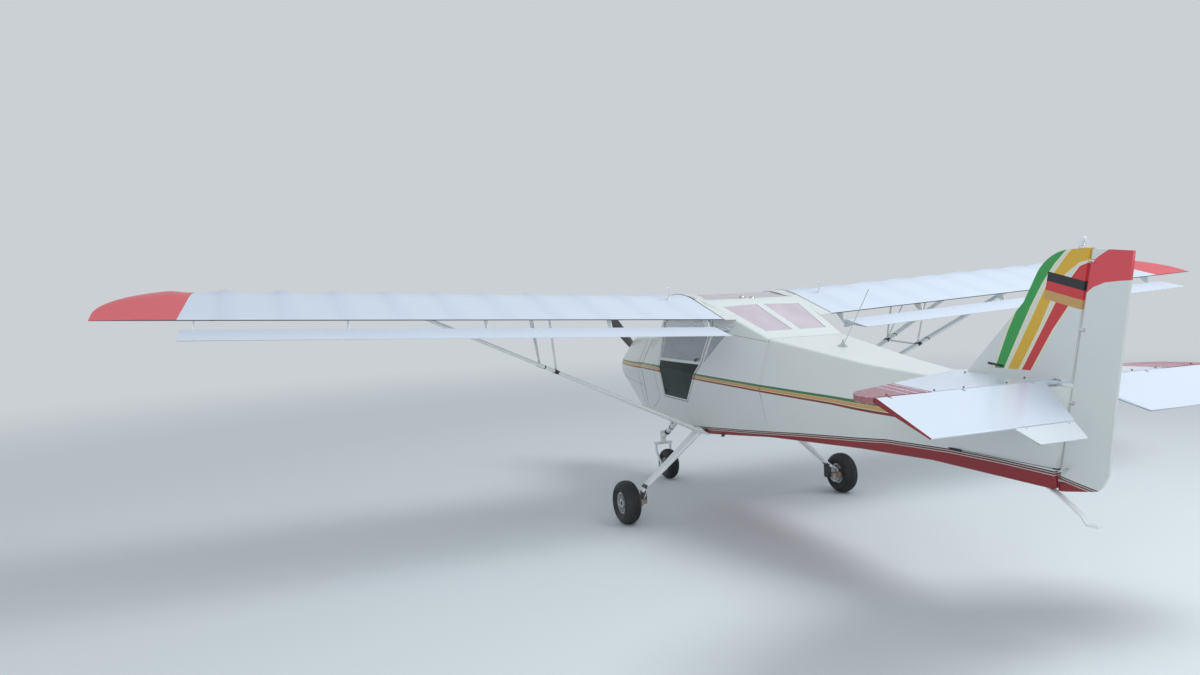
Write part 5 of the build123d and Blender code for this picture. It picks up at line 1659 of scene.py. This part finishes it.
    def build(self) -> None:
        """Makes the tail."""
        self.skins()
        self.cables()
        self.fin_foot()
        self.beacon()


@dataclass
class SeatPad:
    """One padded seat, swollen by a short cloth simulation and sewn into channels."""

    shop: Shop
    side: Side
    node: str = "seats"
    shrink: float = 0.007
    voxel: float = 0.009
    pressure: float = 4.0
    frames: int = 20
    cap: float = 0.012
    seams: tuple[float, ...] = (0.105, 0.275)
    seam_depth: float = 0.006
    seam_width: float = 0.006

    def start(self) -> Piece:
        """The seat's CAD solid, drawn in a little and cut into even small faces."""
        mesh = merged_copy(self.node)
        other = [vert for vert in mesh.verts if vert.co.x * self.side.value < 0]
        bmesh.ops.delete(mesh, geom=other, context="VERTS")
        bmesh.ops.recalc_face_normals(mesh, faces=mesh.faces)
        mesh.normal_update()
        for vert in mesh.verts:
            vert.co -= vert.normal * self.shrink
        piece = finished(mesh, f"seat_pad_{self.side.word}", self.shop.finishes["seat_cloth"], 60.0)
        remesh = piece.modifiers.new("even", "REMESH")
        remesh.mode = "VOXEL"
        remesh.voxel_size = self.voxel
        self.freeze(piece)
        return piece

    def freeze(self, piece: Piece) -> None:
        """Applies a piece's modifiers to its mesh."""
        graph = bpy.context.evaluated_depsgraph_get()
        shaped = bpy.data.meshes.new_from_object(piece.evaluated_get(graph))
        piece.modifiers.clear()
        piece.data = shaped
        piece.data.name = piece.name

    def swell(self, piece: Piece) -> None:
        """Blows the pad up as cloth under pressure, no further than the cap."""
        before = [vert.co.copy() for vert in piece.data.vertices]
        cloth = piece.modifiers.new("stuffing", "CLOTH")
        cloth.settings.use_pressure = True
        cloth.settings.uniform_pressure_force = self.pressure
        cloth.settings.effector_weights.gravity = 0.0
        scene = bpy.context.scene
        for frame in range(1, self.frames + 1):
            scene.frame_set(frame)
        self.freeze(piece)
        scene.frame_set(1)
        for vert, place in zip(piece.data.vertices, before):
            move = vert.co - place
            if move.length > self.cap:
                vert.co = place + move.normalized() * self.cap

    def sew(self, piece: Piece) -> None:
        """Presses the sewn channels into the faces that a person sits on and leans on."""
        mesh = bmesh.new()
        mesh.from_mesh(piece.data)
        bmesh.ops.smooth_vert(mesh, verts=mesh.verts, factor=0.5, use_axis_x=True, use_axis_y=True, use_axis_z=True)
        mesh.normal_update()
        for vert in mesh.verts:
            facing = max(0.0, vert.normal.z, -vert.normal.y)
            near = min(abs(abs(vert.co.x) - place) for place in self.seams)
            press = math.exp(-((near / self.seam_width) ** 2)) * min(1.0, facing * 1.5)
            vert.co -= vert.normal * (self.seam_depth * press)
        mesh.to_mesh(piece.data)
        mesh.free()

    def build(self) -> Piece:
        """Makes the pad.

        Returns:
            The pad's piece.
        """
        piece = self.start()
        self.swell(piece)
        finer = piece.modifiers.new("finer", "SUBSURF")
        finer.levels = 1
        finer.render_levels = 1
        self.freeze(piece)
        self.sew(piece)
        piece.data.shade_smooth()
        piece.data.materials.clear()
        piece.data.materials.append(self.shop.finishes["seat_cloth"])
        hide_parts(self.node)
        return self.shop.settle(piece, "airframe", "seat_cloth")


@dataclass
class Cabin:
    """The seats and the instrument panel."""

    shop: Shop
    face: Surface | None = None
    knob: Profile = ((0.0, 0.0), (0.0, 0.010), (0.010, 0.009), (0.011, 0.007), (0.011, 0.0))
    dials: tuple[tuple[float, float, float], ...] = (
        # X, Z and radius
        (0.335, 1.345, 0.037), (0.245, 1.345, 0.037), (0.155, 1.345, 0.037),
        (0.335, 1.258, 0.037), (0.245, 1.258, 0.037), (0.155, 1.258, 0.037),
        (-0.185, 1.345, 0.027), (-0.255, 1.345, 0.027), (-0.185, 1.275, 0.027), (-0.255, 1.275, 0.027),
    )

    def on_panel(self, x: float, z: float) -> Hit:
        """The place on the panel's rear face at an X and a Z."""
        return self.face.hit((x, -0.9, z), (0.0, -1.0, 0.0))

    def instruments(self) -> None:
        """Round dials with ticks and needles, two radio boxes and a row of switches."""
        self.face = Surface(("instrument_panel",))
        rims, marks = bmesh.new(), bmesh.new()
        for index, (x, z, radius) in enumerate(self.dials):
            place, normal = self.on_panel(x, z)
            turned(rims, ((0.0, 0.0), (0.0, radius), (0.007, radius), (0.009, radius - 0.003), (0.009, radius - 0.005),
                          (0.003, radius - 0.006), (0.003, 0.0)), place, normal, 32)
            across = normal.cross(Vector((0, 0, 1))).normalized()
            up = across.cross(normal)
            raised = place + normal * 0.0034
            for high, wide in around(12):
                out = across * wide + up * high
                tube(marks, raised + out * (radius - 0.013), raised + out * (radius - 0.008), 0.0007, 4)
            turn = 0.9 + 1.7 * index
            out = across * math.sin(turn) + up * math.cos(turn)
            pivot = place + normal * 0.0045
            tube(marks, pivot - out * 0.005, pivot + out * (radius - 0.015), 0.0009, 4)
        boxes = bmesh.new()
        for z, tall in ((1.345, 0.048), (1.285, 0.048)):
            place, normal = self.on_panel(0.0, z)
            block(boxes, place + normal * 0.006, (0.165, 0.014, tall))
            for x in (-0.066, 0.066):
                turned(rims, self.knob, place + normal * 0.013 + Vector((x, 0.0, 0.0)), normal, 16)
        soften(boxes, 0.002, 2)
        for index in range(6):
            place, normal = self.on_panel(-0.075 + 0.03 * index, 1.225)
            bolt(marks, place, normal, 0.005)
            tube(marks, place + normal * 0.005, place + normal * 0.018 + Vector((0, 0, 0.006)), 0.0022, 8)
        self.shop.make(rims, "dial_rims", "cabin_black", "airframe", "black_plastic")
        self.shop.make(boxes, "radio_boxes", "cabin_black", "airframe", "black_plastic")
        self.shop.make(marks, "dial_marks", "plain_white")

    def build(self) -> None:
        """Makes the seats and the instruments."""
        for side in Side:
            SeatPad(self.shop, side).build()
        self.instruments()


@dataclass
class Studio:
    """A plain pale floor and backdrop, soft light and the photograph's viewpoint."""

    place: Point = (3.7469, 5.5658, 1.8456)
    yaw: float = -0.3820
    pitch: float = -0.0529
    roll: float = -0.0416
    lens: float = 26.567
    pale: Colour = (0.60, 0.63, 0.66)
    ground: Colour = (0.72, 0.735, 0.74)
    near: float = 6.0
    far: float = 18.0
    sensor: float = 36.0
    sight: float = 1000.0
    floor_reach: float = 300.0
    sky: Colour = (0.84, 0.93, 1.0)
    sky_strength: float = 0.60
    lamp_tint: Colour = (0.88, 0.95, 1.0)
    lamp_rows: tuple[tuple[str, Point, float, float], ...] = (
        # Name, place, size and power
        ("high", (-3.5, 3.4, 8.5), 4.0, 460.0),
        ("rear", (5.5, 8.5, 5.0), 6.0, 210.0),
    )

    def camera(self) -> None:
        """Makes the camera from the fitted view."""
        data = bpy.data.cameras.new("view")
        data.lens = self.lens
        data.sensor_width = self.sensor
        data.clip_end = self.sight
        made = linked("view", data)
        level = math.cos(self.pitch)
        ahead = Vector((math.sin(self.yaw) * level, -math.cos(self.yaw) * level, math.sin(self.pitch)))
        right = ahead.cross(Vector((0, 0, 1))).normalized()
        above = right.cross(ahead)
        turned_right = right * math.cos(self.roll) + above * math.sin(self.roll)
        turned_up = above * math.cos(self.roll) - right * math.sin(self.roll)
        matrix = Matrix((turned_right, turned_up, -ahead)).transposed().to_4x4()
        matrix.translation = Vector(self.place)
        made.matrix_world = matrix
        bpy.context.scene.camera = made

    def plain_light(self, tree: bpy.types.NodeTree) -> Socket:
        """A mask of the rays that show the backdrop as it is: from the camera, and through or off glass and metal."""
        path = tree.nodes.new("ShaderNodeLightPath")
        seen = path.outputs["Is Camera Ray"]
        for name in ("Is Glossy Ray", "Is Transmission Ray"):
            most = tree.nodes.new("ShaderNodeMath")
            most.operation = "MAXIMUM"
            tree.links.new(seen, most.inputs[0])
            tree.links.new(path.outputs[name], most.inputs[1])
            seen = most.outputs[0]
        return seen

    def floor(self) -> None:
        """A wide pale floor that keeps the aircraft's shadow and fades into the backdrop."""
        mesh = bmesh.new()
        bmesh.ops.create_grid(mesh, x_segments=2, y_segments=2, size=self.floor_reach)
        graph = Graph("floor")
        speck = graph.ramp(graph.noise(0.8, 3.0), 0.3, 0.7, 0.0, 0.04)
        graph.set(Base_Color=graph.mix(speck, self.ground, (0.65, 0.665, 0.67)), Roughness=0.9)
        across, along, _ = graph.axes()
        far = graph.math("SQRT", graph.math("ADD", graph.math("POWER", across, 2.0), graph.math("POWER", along, 2.0)))
        fade = graph.both(graph.ramp(far, self.near, self.far), self.plain_light(graph.tree))
        glow = graph.node("ShaderNodeEmission")
        glow.inputs["Color"].default_value = (*self.pale, 1.0)
        mixed = graph.node("ShaderNodeMixShader")
        graph.feed(mixed.inputs[0], fade)
        graph.feed(mixed.inputs[1], graph.shader.outputs[0])
        graph.feed(mixed.inputs[2], glow.outputs[0])
        graph.feed(graph.tree.nodes["Material Output"].inputs["Surface"], mixed.outputs[0])
        made = finished(mesh, "floor", graph.material)

    def world(self) -> None:
        """Even light from all round, with a pale backdrop behind it."""
        world = bpy.data.worlds.new("studio")
        bpy.context.scene.world = world
        world.use_nodes = True
        tree = world.node_tree
        lit = tree.nodes["Background"]
        lit.inputs["Color"].default_value = (*self.sky, 1.0)
        lit.inputs["Strength"].default_value = self.sky_strength
        seen = tree.nodes.new("ShaderNodeBackground")
        seen.inputs["Color"].default_value = (*self.pale, 1.0)
        seen.inputs["Strength"].default_value = 1.0
        pick = tree.nodes.new("ShaderNodeMixShader")
        tree.links.new(self.plain_light(tree), pick.inputs[0])
        tree.links.new(lit.outputs[0], pick.inputs[1])
        tree.links.new(seen.outputs[0], pick.inputs[2])
        tree.links.new(pick.outputs[0], tree.nodes["World Output"].inputs[0])

    def lamps(self) -> None:
        """Two broad lamps: one high over the left side and a fainter one from behind."""
        for name, place, size, power in self.lamp_rows:
            data = bpy.data.lights.new(name, "AREA")
            data.size = size
            data.energy = power
            data.color = self.lamp_tint
            made = linked(name, data)
            made.location = place
            aim = Vector((0, 0, 1.0)) - Vector(place)
            made.rotation_euler = aim.to_track_quat("-Z", "Y").to_euler()

    def build(self) -> None:
        """Sets the stage."""
        self.camera()
        self.floor()
        self.world()
        self.lamps()
        bpy.context.scene.view_settings.view_transform = "Standard"


def stock(shop: Shop) -> None:
    """Makes every finish."""
    for finish in (
        BodyPaint("body_paint", WHITE, 0.3, coat=0.12),
        Finish("plain_white", WHITE, 0.28, coat=0.3),
        WingPaint("wing_cloth", CLOTH_WHITE, 0.40, coat=0.12),
        Finish("flaperon_cloth", CLOTH_WHITE, 0.36, coat=0.15),
        FinPaint("fin_paint", WHITE, 0.3, coat=0.2),
        RudderPaint("rudder_paint", WHITE, 0.3, coat=0.2),
        TailPaint("tail_cloth", CLOTH_WHITE, 0.22, coat=0.35, relief=0.00003),
        Finish("tab_paint", (0.66, 0.69, 0.72), 0.3, coat=0.2),
        Finish("leg_paint", (0.86, 0.875, 0.86), 0.34, coat=0.2),
        Finish("strut_paint", (0.82, 0.84, 0.80), 0.34, coat=0.1),
        Finish("dark_metal", (0.055, 0.055, 0.06), 0.42, 0.5, grime=0.15),
        Finish("bright_metal", (0.60, 0.61, 0.63), 0.3, 0.95, grime=0.15),
        Finish("cable_steel", (0.16, 0.16, 0.17), 0.4, 0.8),
        Finish("alloy", (0.66, 0.67, 0.69), 0.34, 0.85, grime=0.2),
        Finish("calliper_metal", (0.42, 0.33, 0.30), 0.45, 0.6, grime=0.4),
        Finish("dark_trim", (0.09, 0.09, 0.10), 0.6),
        Finish("seam_grey", (0.20, 0.21, 0.20), 0.7),
        Finish("hose", (0.022, 0.022, 0.024), 0.55),
        Finish("aerial_white", (0.50, 0.53, 0.49), 0.45),
        Rubber("tread", (0.010, 0.0115, 0.0145), 0.66, relief=0.0003),
        Finish("blade", (0.035, 0.03, 0.03), 0.25, coat=0.5),
        Finish("cabin_black", (0.045, 0.045, 0.05), 0.6),
        Finish("cabin_grey", (0.17, 0.17, 0.18), 0.7, grain=200.0, relief=0.0003),
        Weave("seat_cloth", (0.11, 0.12, 0.14), 0.85),
        Glazing("clear", (0.82, 0.87, 0.92), 0.34),
        Glazing("rose_tint", (0.70, 0.575, 0.64), 0.86, 0.12),
        Glazing("green_tint", (0.012, 0.024, 0.021), 0.97, 0.16, 0.0, 0.2),
        Glazing("lamp_glass", (0.85, 0.87, 0.90), 0.35),
    ):
        shop.add(finish)


def main() -> None:
    """Builds the aircraft's looks around the frame."""
    logging.basicConfig(level=logging.INFO, format="%(message)s")
    shop = Shop(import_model())
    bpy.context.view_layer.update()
    stock(shop)
    for node, finish in (
        ("lift_struts", "strut_paint"), ("jury_struts", "strut_paint"), ("main_gear_legs", "leg_paint"),
        ("nose_leg", "leg_paint"), ("nose_fork", "leg_paint"), ("flaperon_brackets", "strut_paint"),
        ("main_axles", "dark_metal"), ("elevator_hinges", "strut_paint"), ("rudder_hinges", "strut_paint"),
        ("door_hinges", "dark_metal"), ("tail_skid", "leg_paint"), ("brake_callipers", "calliper_metal"),
        ("spar_tubes", "alloy"), ("engine", "alloy"), ("firewall", "alloy"), ("rudder_pedals", "alloy"),
        ("floor_panel", "cabin_grey"), ("instrument_panel", "cabin_black"), ("control_sticks", "cabin_black"),
        ("seat_base", "cabin_grey"), ("propeller", "blade"),
        ("wheel_left", "alloy"), ("wheel_right", "alloy"), ("nose_wheel", "alloy"),
    ):
        shop.paint(node, finish)
    for assembly in (Wings, Body, Doors, Tail, Gear, Cabin):
        assembly(shop).build()
        LOG.info("%s is done", assembly.__name__)
    Studio().build()


if __name__ == "__main__":
    main()
